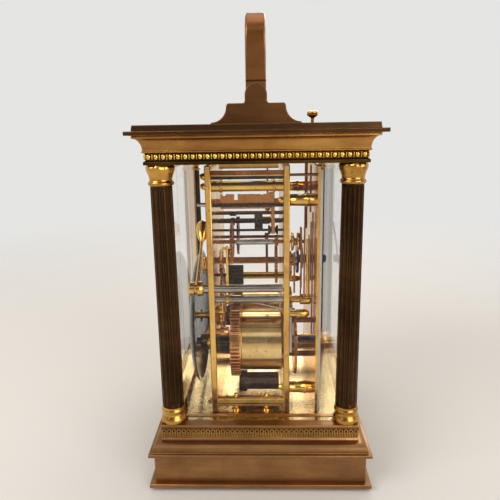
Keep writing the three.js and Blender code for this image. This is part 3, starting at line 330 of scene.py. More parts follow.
def merged(*solids):
    """Several solids as one list of vertices and faces."""
    vertices, faces = [], []
    for some_vertices, some_faces in solids:
        shift = len(vertices)
        vertices += some_vertices
        faces += [tuple(i + shift for i in face) for face in some_faces]
    return vertices, faces


def cuboid(low, high):
    xs, ys, zs = zip(low, high)
    vertices = [(x, y, z) for z in zs for y in ys for x in xs]
    faces = [(0, 2, 3, 1), (4, 5, 7, 6), (0, 1, 5, 4), (2, 6, 7, 3), (0, 4, 6, 2), (1, 3, 7, 5)]
    return vertices, faces


def rod(radius, start, end, axis, at, sides=20):
    """A rod along an axis; at is its place in the two other axes, as a full point."""
    solid = turned([(0, start), (radius, start), (radius, end), (0, end)], sides)
    return moved(solid, at, axis)


def prism(outline, low, high):
    """An outline in X and Y, extruded along Z."""
    n = len(outline)
    vertices = [(x, y, z) for z in (low, high) for x, y in outline]
    faces = [tuple(range(n))[::-1], tuple(range(n, 2 * n))]
    faces += [(i, (i + 1) % n, n + (i + 1) % n, n + i) for i in range(n)]
    return vertices, faces


def facing_front(solid, y=0.0):
    """A solid drawn in X and Y about Z, stood up so that its Y becomes Z and its Z becomes -Y."""
    vertices, faces = solid
    return [(x, y - z, height) for x, height, z in vertices], faces


def facing_side(solid, x=0.0):
    """A solid drawn with X as depth (Y), Y as height, and Z as the way across (X)."""
    vertices, faces = solid
    return [(x + z, depth, height) for depth, height, z in vertices], faces


def course(profile, extra, solid=True):
    """A moulding with mitred corners, from [half depth, height] points. extra widens X."""
    corners = [(1, 1), (-1, 1), (-1, -1), (1, -1)]
    vertices = [(sx * (half + extra), sy * half, z) for half, z in profile for sx, sy in corners]
    faces = []
    n = len(profile)
    for i in range(n - 1 if solid else n):
        a, b = i * 4, ((i + 1) % n) * 4
        faces += [(a + c, a + (c + 1) % 4, b + (c + 1) % 4, b + c) for c in range(4)]
    if solid:
        faces += [(3, 2, 1, 0), tuple(range(4 * n - 4, 4 * n))]
    return vertices, faces


def quarter(steps):
    """Cosine and sine at even steps round a quarter turn."""
    angles = [math.pi / 2 * i / steps for i in range(steps + 1)]
    return [(math.cos(angle), math.sin(angle)) for angle in angles]


def around(half, extra, pitch):
    """Evenly spaced places on the four sides of a course: (x, y, outward angle)."""
    spots = []
    sides = [((1, 0), half + extra, half), ((0, 1), half, half + extra),
             ((-1, 0), half + extra, half), ((0, -1), half, half + extra)]
    for (nx, ny), out, along in sides:
        count = max(1, round(2 * along / pitch))
        for i in range(count):
            t = -along + (i + 0.5) * 2 * along / count
            spots.append((nx * out - ny * t, ny * out + nx * t, math.atan2(ny, nx)))
    return spots


def repeated(solid, spots, z):
    """Copies of a solid whose outward side is +X, at each place round a course."""
    vertices, faces = solid
    copies = []
    for x, y, angle in spots:
        turn = Matrix.Rotation(angle, 3, "Z")
        copies.append(([tuple(turn @ Vector(v) + Vector((x, y, z))) for v in vertices], faces))
    return merged(*copies)


def spindle(outline, x=0.0, z=0.0, sides=40):
    """A solid turned about an arbor along Y, from [radius, Y] points."""
    ends = [(0, outline[0][1])], [(0, outline[-1][1])]
    ends = [[] if point[0] == 0 else end for point, end in zip((outline[0], outline[-1]), ends)]
    return moved(turned([*ends[0], *outline, *ends[1]], sides), (x, 0, z), "Y")


def pin(radius, y_low, y_high, x, z, chamfer=0.12, sides=24):
    """A plain rod along Y with chamfered ends."""
    cut = min(chamfer, radius * 0.4)
    outline = [(radius - cut, y_low), (radius, y_low + cut),
               (radius, y_high - cut), (radius - cut, y_high)]
    return spindle(outline, x, z, sides)


def upright_pin(radius, low, high, x, y, sides=20):
    return moved(turned([(0, low), (radius, low), (radius, high), (0, high)], sides), (x, y, 0))


LEAF = ((-0.27, 0), (-0.2, 0.75), (0, 1), (0.2, 0.75), (0.27, 0))
GREAT_TOOTH = ((-0.3, 0), (-0.22, 0.8), (-0.14, 1), (0.14, 1), (0.22, 0.8), (0.3, 0))
SAW_TOOTH = ((0, 1), (0.3, 0))


def toothed(teeth, root, tip, y_low, y_high, x, z, phase=0.0, shape=LEAF):
    """A spur wheel about an arbor along Y. shape gives a tooth as [part of pitch, part of height]."""
    outline = []
    for i in range(teeth):
        for share, height in shape:
            angle = phase + (i + share) * FULL / teeth
            radius = root + (tip - root) * height
            outline.append((x + radius * math.cos(angle), z + radius * math.sin(angle)))
    return facing_front(prism(outline, -y_high, -y_low))


def tooth_phase(node, x, z):
    """The angle of one tooth tip of a CAD wheel about its arbor, so that finer teeth match."""
    mesh = frame["nodes"][node].data
    spots = [(v.co.x / MM - x, v.co.z / MM - z) for v in mesh.vertices]
    tip = max(spots, key=lambda spot: round(spot[0] ** 2 + spot[1] ** 2, 3))
    return math.atan2(tip[1], tip[0])


def ball(radius, scale=(1, 1, 1), rings=8, sides=12):
    angles = [math.pi * i / rings for i in range(rings + 1)]
    profile = [(radius * math.sin(angle), -radius * math.cos(angle)) for angle in angles]
    profile[0], profile[-1] = (0, -radius), (0, radius)
    vertices, faces = turned(profile, sides)
    return [(x * scale[0], y * scale[1], z * scale[2]) for x, y, z in vertices], faces


# ------------------------------------------------------------------ case

base = Box("base_plate")
plinth = Box("plinth")
frieze = Box("base_frieze")
EXTRA = base.high.x - base.high.y
WEAR = 0.22
FLOOR_DROP = 3.5


def build_base():
    pad_inset, pad_top = 3.1, 1.4
    half, top = base.high.y, base.high.z
    piece("base_plate_cast", *course([
        (half - pad_inset, 0), (half - pad_inset, pad_top), (half, pad_top), (half, top),
    ], EXTRA), CASE_BRONZE, bevel=WEAR, replaces=["base_plate"])

    wall_inset, ledge_drop, ledge, step, top_inset = 2.2, 5.0, 1.4, 1.5, 4.8
    half, low, high = plinth.high.y, plinth.low.z, plinth.high.z
    ledge_low = high - ledge_drop
    piece("plinth_cast", *course([
        (half - wall_inset, low), (half - wall_inset, ledge_low), (half, ledge_low),
        (half, ledge_low + ledge), (half - step, ledge_low + ledge),
        *bulge(half - step, ledge_low + ledge + 0.8, half - top_inset, high),
    ], EXTRA), CASE_BRONZE, bevel=WEAR, replaces=["plinth"])


def bulge(out, low, inner, high):
    """An ovolo that rises from the outer low point and rounds over to the inner high one."""
    return [(inner + (out - inner) * c, low + (high - low) * s) for c, s in quarter(8)]


def build_frieze():
    half, low, high = frieze.high.y, frieze.low.z, frieze.high.z
    fillet, band = 0.9, 0.35
    band_low, band_high = low + 1.9, high - 1.9
    rim = 4.6
    floor = high - FLOOR_DROP
    body = course([
        (half - rim, floor), (half - rim - 6, floor), (half - rim - 6, low), (half, low),
        (half, low + fillet), (half - band, low + fillet + 0.4), (half - band, band_low),
        (half - band, band_high),
        (half - 0.2, band_high + 0.4), (half, high - fillet), (half, high), (half - rim, high),
    ], EXTRA, solid=False)
    floor_plate = course([(half - rim - 5, low), (half - rim - 5, floor - 0.05)], EXTRA)
    block = 5.8
    corner_x, corner_y = half - rim + EXTRA, half - rim
    blocks = []
    for sx in (-1, 1):
        for sy in (-1, 1):
            x_low, x_high = sorted((sx * (corner_x + 0.5), sx * (corner_x - block)))
            y_low, y_high = sorted((sy * (corner_y + 0.5), sy * (corner_y - block)))
            blocks.append(cuboid((x_low, y_low, floor - 0.2), (x_high, y_high, high - 0.01)))
    piece("frieze_cast", *merged(body, floor_plate, *blocks), CASE_BRONZE, bevel=WEAR,
          replaces=["base_frieze"])

    # The band between the fillets is a row of small keyed arches on a dark ground.
    pitch, proud, bar = 2.15, 0.3, 0.34
    height = band_high - band_low
    side = pitch * 0.40
    arch = merged(
        cuboid((0, -side, 0), (proud, -side + bar, height)),
        cuboid((0, side - bar, 0), (proud, side, height)),
        cuboid((0, -side, height - bar), (proud, side, height)),
        cuboid((0, -bar / 2, 0), (proud, bar / 2, height * 0.62)),
        cuboid((0, -pitch * 0.22, height * 0.5), (proud, pitch * 0.22, height * 0.5 + bar)),
    )
    spots = around(half - band - 0.02, EXTRA, pitch)
    piece("frieze_key_band", *repeated(arch, spots, band_low), CORNICE_BRONZE)
    ground = 0.04
    piece("frieze_band_ground", *course([
        (half - band - 1, band_low + 0.05), (half - band + ground, band_low + 0.05),
        (half - band + ground, band_high - 0.05), (half - band - 1, band_high - 0.05),
    ], EXTRA, solid=False), BAND_DARK)


# The turnings of the columns' ends, as [part of the widest radius, height above the lower face].
FOOT_TURNING = [(0.93, 0), (0.99, 0.5), (1, 1.4), (0.96, 2.3), (0.86, 3.2), (0.79, 4.1), (0.79, 4.6),
                (0.85, 4.8), (0.92, 5.2), (0.94, 5.8), (0.91, 6.4), (0.85, 6.8)]
CAPITAL_TURNING = [(0.80, 0), (0.87, 0.3), (0.905, 0.9), (0.87, 1.5), (0.80, 1.8), (0.785, 2.6),
                   (0.82, 3.6), (0.90, 4.8), (0.975, 5.8), (1, 6.6), (1, 7.3), (0.97, 7.7)]
LAPPETS_START = 3.2


def build_columns():
    corners = ["front_left", "front_right", "rear_left", "rear_right"]
    for corner in corners:
        foot, shaft, cap = (Box(f"column_{part}_{corner}") for part in ("base", "shaft", "capital"))
        spot = (shaft.mid.x, shaft.mid.y, 0)
        wide = foot.size.x / 2
        z0, z1 = foot.low.z, foot.high.z
        pear = [(0, z0), *[(wide * part, z0 + rise) for part, rise in FOOT_TURNING],
                (wide * 0.85, z1), (0, z1)]
        piece(f"turned_base_{corner}", *moved(turned(pear), spot), COLUMN_GILT, smooth=50,
              replaces=[f"column_base_{corner}"])

        z0, z1 = cap.low.z, cap.high.z
        top = cap.size.x / 2

        def lappets(radius, height, angle, low=z0, high=z1):
            rise = max(0.0, (height - low - LAPPETS_START) / (high - low - LAPPETS_START))
            leaf = 0.5 + 0.5 * math.cos(8 * angle)
            return radius * (1 - 0.10 * rise * (1 - leaf) ** 2)

        bell = [(0, z0), *[(top * part, z0 + rise) for part, rise in CAPITAL_TURNING],
                (top * 0.9, z1), (0, z1)]
        piece(f"turned_capital_{corner}", *moved(turned(bell, 64, lappets), spot), COLUMN_GILT,
              smooth=50, replaces=[f"column_capital_{corner}"])
        piece(f"fluted_shaft_{corner}", *moved(fluted(shaft), spot), SHAFT_BRONZE, smooth=50,
              replaces=[f"column_shaft_{corner}"])


def fluted(shaft):
    """A tapered shaft with hollow flutes that end in round stops."""
    flutes, steps, depth, stop, taper = 14, 8, 0.62, 2.2, 0.28
    plain = 0.8
    z0, z1 = shaft.low.z, shaft.high.z
    low_radius = shaft.size.x / 2
    high_radius = low_radius - taper
    ends = [0, plain, 1.2, 1.7, stop]
    heights = [*[z0 + rise for rise in ends], (z0 + z1) / 2, *[z1 - rise for rise in ends[::-1]]]

    def groove(radius, height, angle):
        along = (angle / FULL * flutes) % 1
        inside = min(1.0, abs(along - 0.5) / 0.36)
        hollow = math.sqrt(max(0.0, 1 - inside * inside))
        end = min(1.0, max(0.0, (min(height - z0, z1 - height) - plain) / (stop - plain)))
        return radius - depth * hollow * math.sqrt(end)

    profile = [(low_radius + (high_radius - low_radius) * (z - z0) / (z1 - z0), z) for z in heights]
    return turned([(0, z0), *profile, (0, z1)], flutes * steps, groove)


def build_top():
    band, cornice, slab = Box("entablature"), Box("cornice"), Box("top_plate")
    half, low, high = band.high.y, band.low.z, band.high.z
    inner = 29
    strip = 1.5
    piece("entablature_frame", *course([
        (inner, low), (half - 0.1, low), (half, low + 0.2), (half, low + strip - 0.3),
        (half - 0.5, low + strip), (half - 0.9, low + strip + 0.3), (half - 0.9, high - 0.3),
        (half - 0.3, high), (inner, high),
    ], EXTRA, solid=False), BAND_DARK, bevel=0.12, replaces=["entablature"])
    pitch = 2.9
    bead_z = (low + strip + high) / 2 + 0.05
    bead = ball(1.0, (0.72, 0.92, 1.22))
    reel = cuboid((-0.3, -0.17, -1.0), (0.42, 0.17, 1.0))
    spots = around(half - 0.72, EXTRA, pitch)
    piece("bead_row", *repeated(bead, spots, bead_z), GILT, smooth=60)
    shifted = [(x - math.sin(a) * pitch / 2, y + math.cos(a) * pitch / 2, a) for x, y, a in spots]
    piece("reel_row", *repeated(reel, shifted, bead_z), GILT, bevel=0.08)

    half, low, high = cornice.high.y, cornice.low.z, cornice.high.z
    neck, flare = half - 5.45, half - 2.55
    hollow = [(neck + (flare - neck) * (1 - c), low + 0.9 + 4.6 * s) for c, s in quarter(10)]
    lip_low = low + 6.65
    piece("cornice_cast", *course([
        (inner, low), (neck - 0.1, low), (neck + 0.35, low + 0.3), (neck + 0.35, low + 0.7),
        (neck, low + 0.9), *hollow[1:], (flare + 0.25, low + 5.6), (flare + 0.25, low + 6.2),
        (flare, low + 6.4), (half - 1.6, lip_low), (inner, lip_low),
    ], EXTRA, solid=False), CORNICE_BRONZE, bevel=0.1)
    piece("cornice_lip", *course([
        (inner, low + 6.66), (half - 0.1, low + 6.66), (half, low + 6.9), (half, high - 0.12),
        (half - 0.15, high), (inner, high),
    ], EXTRA, solid=False), TOP_BRONZE, bevel=0.15, replaces=["cornice"])

    half, low, high = slab.high.y, slab.low.z, slab.high.z
    window, rebate = 19, 20.5
    piece("top_plate_cast", *course([
        (rebate, low), (half, low), (half - 0.3, high), (window + 0.8, high), (window, high - 0.5),
        (window, high - 0.95), (rebate, high - 0.95),
    ], EXTRA, solid=False), TOP_BRONZE, bevel=0.18, replaces=["top_plate"])
    pane = Box("top_glass")
    bevel_width = 4.5
    half, low, high = pane.high.y, pane.low.z, pane.high.z
    piece("bevelled_top_glass", *course([
        (half, low), (half, high - 1.0), (half - bevel_width, high),
    ], EXTRA), GLASS, smooth=5, replaces=["top_glass"])


# ------------------------------------------------------------------ handle, posts and button

def build_handle():
    pivot_z = joint_spot("handle_fold").z
    for side in ("left", "right"):
        post = Box(f"handle_post_{side}")
        foot, half = post.low.z, post.high.y
        shoulder = pivot_z - 3.3
        shoulder_half, radius = 11.65, 4.45
        scoop = [(shoulder_half + 0.35 + (half - 0.6 - shoulder_half) * (1 - c),
                  shoulder - 1.2 - (shoulder - foot - 2.1) * s) for c, s in quarter(8)]
        right = [(half, foot), (half, foot + 0.5), *scoop[::-1], (shoulder_half, shoulder - 0.25),
                 (shoulder_half - 0.4, shoulder), (radius + 0.75, shoulder), (radius + 0.2, shoulder + 0.3),
                 (radius, shoulder + 1.0)]
        angles = [math.pi * i / 16 for i in range(17)]
        cap = [(radius * math.cos(a), pivot_z + radius * math.sin(a)) for a in angles]
        outline = right + cap + [(-y, z) for y, z in right[::-1]]
        cast = facing_side(prism(outline, 0, post.size.x), post.low.x)
        piece(f"scroll_post_{side}", *cast, POST_BRONZE, bevel=0.3,
              replaces=[f"handle_post_{side}"])

    bail = Box("handle")
    width = bail.size.y / 2
    outer = 29.2
    thick = 4.6
    top = bail.high.z
    corner = 11
    # Heights of the dark ring at the knuckle, which is painted shade.
    shade_band_low, shade_band_high = pivot_z + 5.3, pivot_z + 6.1

    def half_path(x, radius):
        arc = [(outer - corner + radius * c, top - corner + radius * s) for c, s in quarter(12)]
        return [(x, pivot_z)] + arc

    right = half_path(outer, corner)
    inner = half_path(outer - thick, corner - thick)
    outside = right + [(-x, z) for x, z in right[::-1]]
    inside = inner + [(-x, z) for x, z in inner[::-1]]
    vertices, faces = [], []
    n = 6  # corners of the bail's section
    for (xo, zo), (xi, zi) in zip(outside, inside):
        face = 0.98 - 0.15 * (zo - pivot_z) / (top - pivot_z)
        section = [(0, face), (0.3, 1.0), (1, 0.86), (1, -0.86), (0.3, -1.0), (0, -face)]
        for across, side in section:
            vertices.append((xo + (xi - xo) * across, side * width, zo + (zi - zo) * across))
    for k in range(len(outside) - 1):
        for i in range(n):
            j = (i + 1) % n
            faces.append((k * n + i, k * n + j, (k + 1) * n + j, (k + 1) * n + i))
    faces += [tuple(range(n))[::-1], tuple(range(len(vertices) - n, len(vertices)))]
    eyes = []
    for sx in (-1, 1):
        x_low, x_high = sorted((sx * (outer - thick), sx * outer))
        eyes.append(rod(width, x_low, x_high, "X", (0, 0, pivot_z), 32))
        x_low, x_high = sorted((sx * (outer - 0.5), sx * (bail.high.x - 0.3)))
        eyes.append(rod(1.6, x_low, x_high, "X", (0, 0, pivot_z)))
    piece("bail_handle", *merged((vertices, faces), *eyes), HANDLE_BRONZE, "handle", bevel=0.25,
          replaces=["handle"])
    # A dark ring round each arm at the knuckle, just proud of it: painted shade that stands in for the
    # shaded gap of the joint, which is not cut.
    joints = []
    for sx in (-1, 1):
        x_low, x_high = sorted((sx * (outer - thick - 0.04), sx * (outer + 0.04)))
        joints.append(cuboid((x_low, -width + 0.05, shade_band_low), (x_high, width - 0.05, shade_band_high)))
    piece("bail_knuckle_painted_shade", *merged(*joints), SHAFT_BRONZE, "handle")


def cut_out(obj, solid):
    """Cuts a solid out of a piece for good, with a cutter that is then deleted."""
    mesh = bpy.data.meshes.new("cutter")
    mesh.from_pydata([tuple(c * MM for c in v) for v in solid[0]], [], solid[1])
    edit = bmesh.new()
    edit.from_mesh(mesh)
    bmesh.ops.recalc_face_normals(edit, faces=edit.faces)
    edit.to_mesh(mesh)
    edit.free()
    cutter = bpy.data.objects.new("cutter", mesh)
    bpy.context.scene.collection.objects.link(cutter)
    modifier = obj.modifiers.new("cut", "BOOLEAN")
    modifier.operation = "DIFFERENCE"
    modifier.solver = "EXACT"
    modifier.object = cutter
    bpy.context.view_layer.update()
    graph = bpy.context.evaluated_depsgraph_get()
    result = bpy.data.meshes.new_from_object(obj.evaluated_get(graph))
    obj.modifiers.remove(modifier)
    obj.data = result
    bpy.data.objects.remove(cutter)


def build_button():
    button = Box("repeat_button")
    at = (0, -25.9, 0)
    top = button.high.z
    radius = 2.6
    stem_low = top - 4.1  # clear of the top plate when the button is pressed
    head = turned([(0, stem_low), (0.75, stem_low), (0.8, top - 3.5), (1.0, top - 3.3),
                   (2.45, top - 1.35), (radius, top - 1.0), (2.5, top - 0.75), (2.1, top - 0.35),
                   (1.2, top - 0.08), (0, top)], 32)
    piece("repeat_button_head", *moved(head, at), GILT, "repeat_button", smooth=50)


# ------------------------------------------------------------------ movement

back_plate, front_plate = Box("back_plate"), Box("front_plate")
dial = Box("dial")
INNER = (front_plate.high.y, back_plate.low.y)
STRIKE = joint_spot("strike_barrel_turn")
GOING = joint_spot("going_barrel_turn")
HAMMER = joint_spot("hammer_swing")
LEVER = joint_spot("repeat_lever_turn")
WARNING = joint_spot("warning_wheel_turn")
CONTRATE = joint_spot("contrate_wheel_turn")
CENTRE = joint_spot("centre_wheel_turn")
REAR = back_plate.high.y
POST_X, POST_HEIGHTS = 28, (124.6, 36.6)
DIAL_PLATE_BACK = -25.3
SCREW_X, SCREW_PLACES = 28.5, (11.1, -3.1)
GREAT_TEETH, GREAT_ROOT, GREAT_TIP, GREAT_WIDTH, DRUM_RADIUS = 54, 15.1, 16.6, 4.3, 13.7


def domed_nut(y, x, z):
    outline = [(1.5, y), (1.5, y + 0.8), (1.1, y + 1.9), (0.5, y + 2.4), (0, y + 2.5)]
    return spindle(outline, x, z, 24)


def build_plates():
    for node, plate in (("back_plate", back_plate), ("front_plate", front_plate)):
        piece(f"{node}_polished", *cuboid(plate.low, plate.high), PLATE_BRASS, bevel=0.35,
              replaces=[node])
    for side in ("left", "right"):
        for level in ("bottom", "top"):
            box = Box(f"pillar_{level}_{side}")
            radius, ring = box.size.x / 2 - 0.5, box.size.x / 2
            low, high = box.low.y, box.high.y
            collar = [(radius, 3.3), (ring, 3.6), (ring, 4.2), (radius, 4.5)]
            outline = [(radius * 1.02, low), *[(r, low + y) for r, y in collar]]
            outline += [(r, high - y) for r, y in collar[::-1]] + [(radius * 1.02, high)]
            piece(f"turned_pillar_{level}_{side}", *spindle(outline, box.mid.x, box.mid.z), GILT,
                  smooth=40, replaces=[f"pillar_{level}_{side}"])
            for offset in ((0,) if level == "bottom" else (0, 4.2)):
                nut = domed_nut(REAR, box.mid.x, box.mid.z + offset)
                piece(f"plate_nut_{level}_{side}_{int(offset)}", *nut, GILT, smooth=50)
    for side in (-1, 1):
        for z in POST_HEIGHTS:
            inside = front_plate.high.y
            outline = [(1.6, inside), (1.6, inside + 0.9), (1.0, inside + 2.1), (0, inside + 2.4)]
            nut = spindle(outline, side * POST_X, z, 24)
            piece(f"dial_post_nut_{side + 1}_{int(z)}", *nut, GILT, smooth=50)
    # The movement is held down by two screws through each bottom pillar.
    floor = frieze.high.z - FLOOR_DROP
    outline = [(0, 0), (1.9, 0), (1.9, 0.7), (1.05, 0.9), (1.05, 7.4), (0.7, 8), (0, 8)]
    screw = turned([(radius, floor + rise) for radius, rise in outline], 20)
    for side in (-1, 1):
        for y in SCREW_PLACES:
            piece(f"seat_screw_{side + 1}_{int(y)}", *moved(screw, (side * SCREW_X, y, 0)), GILT,
                  smooth=40)


def build_barrels():
    for train, spot in (("strike", STRIKE), ("going", GOING)):
        node = f"{train}_barrel"
        box = Box(node)
        x, z = spot.x, spot.z
        back, front, wheel_front = box.high.y, box.low.y, box.high.y - GREAT_WIDTH
        wheel = toothed(GREAT_TEETH, GREAT_ROOT, GREAT_TIP, wheel_front, back, x, z,
                        tooth_phase(node, x, z), GREAT_TOOTH)
        drum = spindle([(2.6, front + 0.2), (12.6, front + 0.2), (12.9, front), (13.5, front),
                        (DRUM_RADIUS, front + 0.25), (DRUM_RADIUS, wheel_front - 0.9),
                        (13.55, wheel_front - 0.7), (DRUM_RADIUS, wheel_front - 0.5),
                        (DRUM_RADIUS, wheel_front)], x, z, 96)
        piece(f"{train}_drum", *drum, DRUM_BRASS, node, smooth=30, replaces=[node])
        piece(f"{train}_great_wheel", *wheel, WHEEL_GOLD, node, bevel=0.08, replaces=[node])
        arbor = f"{train}_arbor"
        shaft = spindle([(1.9, Box(arbor).low.y), (1.9, REAR + 0.4)], x, z, 32)
        square = spindle([(1.7, 28.0), (1.7, 30.2), (1.4, 30.4)], x, z, 4)
        piece(f"{train}_arbor_steel", *merged(shaft, square), STEEL, arbor, smooth=40,
              replaces=[arbor])
        collar = spindle([(2.9, REAR + 0.3), (3.35, REAR + 0.6), (3.35, 27.6), (3.0, 28.1)], x, z)
        piece(f"{train}_arbor_collar", *collar, GILT, arbor, smooth=40)
        ratchet = toothed(24, 14.6, 15.6, -17.4, -16.2, x, z, tooth_phase(arbor, x, z), SAW_TOOTH)
        piece(f"{train}_ratchet", *ratchet, COPPER_BRASS, arbor, bevel=0.08, replaces=[arbor])
        leaves = toothed(16, 4.4, 5.4, 14.4, 19.0, x, z)
        piece(f"{train}_stop_work", *leaves, DARK_STEEL, arbor, bevel=0.1)
    box = Box("alarm_barrel")
    x, z = box.mid.x, box.mid.z
    front, back, flange = box.low.y, box.high.y, 6.2
    outline = [(3.9, front), (4.2, front + 0.3), (4.2, flange), (5.2, flange), (5.2, back - 0.3),
               (4.9, back)]
    # The alarm drum is brass; its dark colour is painted shade.
    piece("alarm_drum", *spindle(outline, x, z, 64), SHADED_BRASS, "alarm_barrel", smooth=30,
          replaces=["alarm_barrel"])


def build_hammer():
    x, z = HAMMER.x, HAMMER.z
    pivot, shoulder = INNER[0] - 1.2, INNER[0] + 0.3
    axle = spindle([(0.45, pivot), (0.45, shoulder), (1.9, shoulder), (1.9, 24.4)], x, z)
    piece("hammer_arbor", *axle, STEEL, "hammer", smooth=40, replaces=["hammer"])
    hub = spindle([(2.9, 24.4), (3.3, 24.8), (3.3, 27.0), (2.4, 27.3), (2.4, 28.2), (3.2, 28.5),
                   (3.2, 30.4), (2.4, 31.0)], x, z)
    head_x, head_z, arm_y = 2, 107.0, 27.5
    reach, tilt = math.hypot(head_x - x, head_z - z), math.atan2(head_x - x, head_z - z)
    outline = [(0, 0), (1.0, 0.4), (0.95, 3), (0.62, reach - 14), (0.8, reach - 9),
               (1.9, reach - 7), (3.0, reach - 4), (3.5, reach), (3.3, reach + 1.8),
               (2.3, reach + 3.3), (0, reach + 4)]
    turn = Matrix.Rotation(tilt, 3, "Y")
    upright, faces = turned(outline, 32)
    arm = [tuple(turn @ Vector(v) + Vector((x, arm_y, z))) for v in upright], faces
    piece("hammer_head", *merged(hub, arm), GILT, "hammer", smooth=50, replaces=["hammer"])
    lifter = [(13.0, 0.6), (14.2, 0.6), (14.1, 19.2), (13.6, 19.6), (13.1, 19.2)]
    hook = [(14.1, 19.0), (15.4, 19.0), (16.5, 17.4), (16.6, 13.6), (16.0, 13.4), (15.7, 16.9),
            (15.0, 17.9), (14.1, 17.9)]
    lifter, hook = ([(y, z + rise) for y, rise in outline] for outline in (lifter, hook))
    lever = merged(facing_side(prism(lifter, -0.9, 0.9), x), facing_side(prism(hook, -0.5, 0.5), x))
    piece("hammer_lifter", *lever, GILT, "hammer", bevel=0.15, replaces=["hammer"])


def build_bell():
    box = Box("bell")
    radius, rim, rise, wall = box.size.x / 2, 28.8, 5.3, 1.2
    centre_z = box.mid.z
    crown, hole = rim + rise, 3.5

    def dome(r, h):
        return [(r * c, rim + h * s) for c, s in quarter(16)[:-1]]

    outer, inner = dome(radius, rise), dome(radius - wall, rise - wall)
    solid = turned([(0, crown - wall), *inner[::-1], *outer, (0, crown)], 96)
    obj = piece("bell_dome", *moved(solid, (0, 0, centre_z), "Y"), BELL_METAL, smooth=50,
                replaces=["bell"])
    for spot in (GOING, STRIKE):
        cut_out(obj, pin(hole, rim - 2, crown + 2, spot.x, spot.z, sides=40))
    stud = spindle([(1.6, REAR), (1.6, crown - wall - 0.6), (2.6, crown - wall - 0.5),
                    (2.6, crown - wall - 0.1)], 0, centre_z)
    nut = spindle([(1.5, crown), (1.5, box.high.y - 0.3), (1.1, box.high.y)], 0, centre_z, 24)
    piece("bell_stud", *merged(stud, nut), GILT, smooth=40, replaces=["bell"])


# Upright strips of the striking work behind the dial, as opposite corners.
DIAL_WORK_STRIPS = (
    ("alarm_release", (-21, -25.0, 60), (-19.4, -24.4, 118)),
    ("lifting_piece", (-23.5, -21.2, 78), (-22, -20.5, 112)),
    ("rack_hook", (-26, -16.6, 82), (-24.6, -15.8, 101)),
    ("warning_lever", (-25.2, -19.6, 84), (-24, -18.9, 112)),
    ("rack_spring", (-27, -22.7, 80), (-26.2, -22.2, 109)),
    ("count_lever", (-12, -25.1, 84), (-9.6, -24.5, 112)),
)
# Bars from the front plate to the dial plate, as [name, X, height, radius].
DIAL_WORK_BARS = (("top_bar", -28, 135.3, 0.6), ("low_bar", 0, 59, 1.4), ("foot_bar", 0, 40.5, 1.5))


def build_levers():
    """The repeat lever, the racks and the bars between the front plate and the dial plate."""
    x, z = LEVER.x, LEVER.z
    hub = spindle([(1.7, front_plate.low.y - 0.4), (1.7, -19.4), (2.6, -19.6), (2.6, -24.2),
                   (2.1, -24.6)], x, z)
    blade = [(-1.5, 0), (1.5, 0), (1.2, 26), (0.5, 29.3), (-0.5, 29.3), (-1.2, 26)]
    blade = [(x + across, z + rise) for across, rise in blade]
    piece("repeat_lever_blade", *merged(hub, facing_front(prism(blade, 22.3, 24.0))), GILT,
          "repeat_lever", bevel=0.12, smooth=40, replaces=["repeat_lever"])
    foot = Box("repeat_lever").low.z
    rack = [(-13.5, 8), (-11.5, 8), (-10, 24), (-4.5, 34), (-6, 36), (-12, 28)]
    rack = [(across, foot + rise) for across, rise in rack]
    tail = [(-11, 72), (-9.5, 72), (-5.2, 84), (-6.4, 85.5), (-8, 84)]
    for name, outline in (("rack", rack), ("rack_tail", tail)):
        piece(name, *facing_front(prism(outline, 20.0, 20.6)), BROWN_BRASS, bevel=0.08)
    for name, low, high in DIAL_WORK_STRIPS:
        piece(name, *cuboid(low, high), BROWN_BRASS, bevel=0.12)
    piece("click_plate", *cuboid((-22, -15.5, 51), (-18, -14.2, 75)), STEEL, bevel=0.15)
    snail, hours, steps_each = [], 12, 4
    for step in range(hours):
        radius = 3.6 + step * 0.38
        for part in range(steps_each):
            angle = -(step + part / steps_each) * FULL / hours
            snail.append((CENTRE.x + radius * math.cos(angle), CENTRE.z + radius * math.sin(angle)))
    piece("hour_snail", *facing_front(prism(snail, 21.0, 21.8)), COPPER_BRASS, "hour_hand",
          bevel=0.08)
    for name, bar_x, bar_z, radius in DIAL_WORK_BARS:
        piece(name, *pin(radius, DIAL_PLATE_BACK, front_plate.low.y, bar_x, bar_z), BROWN_BRASS)
    piece("repeat_guide_rod", *upright_pin(0.4, 118, 139, -20, -23.6), BROWN_BRASS)
    for side in (-1, 1):
        bullet = spindle([(0, -23), (0.9, -22.7), (1.6, -21.9), (1.95, -20.6), (1.95, -17.2),
                          (1.5, -17.0), (1.5, front_plate.low.y)], side * POST_X, 73)
        piece(f"banking_post_{side + 1}", *bullet, GILT, smooth=50)
        for z_post in POST_HEIGHTS:
            post = spindle([(2.75, DIAL_PLATE_BACK), (2.75, -21.9), (3.1, -21.5), (3.1, -20.9),
                            (2.75, -20.5), (2.5, -14.3), (2.9, -13.8)], side * POST_X, z_post)
            piece(f"dial_post_{side + 1}_{int(z_post)}", *post, GILT, smooth=50)
    for k, (y_low, y_high) in enumerate(((-16.0, -14.9), (-18.7, -17.5))):
        outline = [(2.8, y_low), (4.3, y_low + 0.25), (4.3, y_high - 0.25), (2.8, y_high)]
        disc = spindle(outline, WARNING.x, WARNING.z, 48)
        piece(f"warning_disc_{k}", *disc, GILT, "warning_wheel", smooth=40)


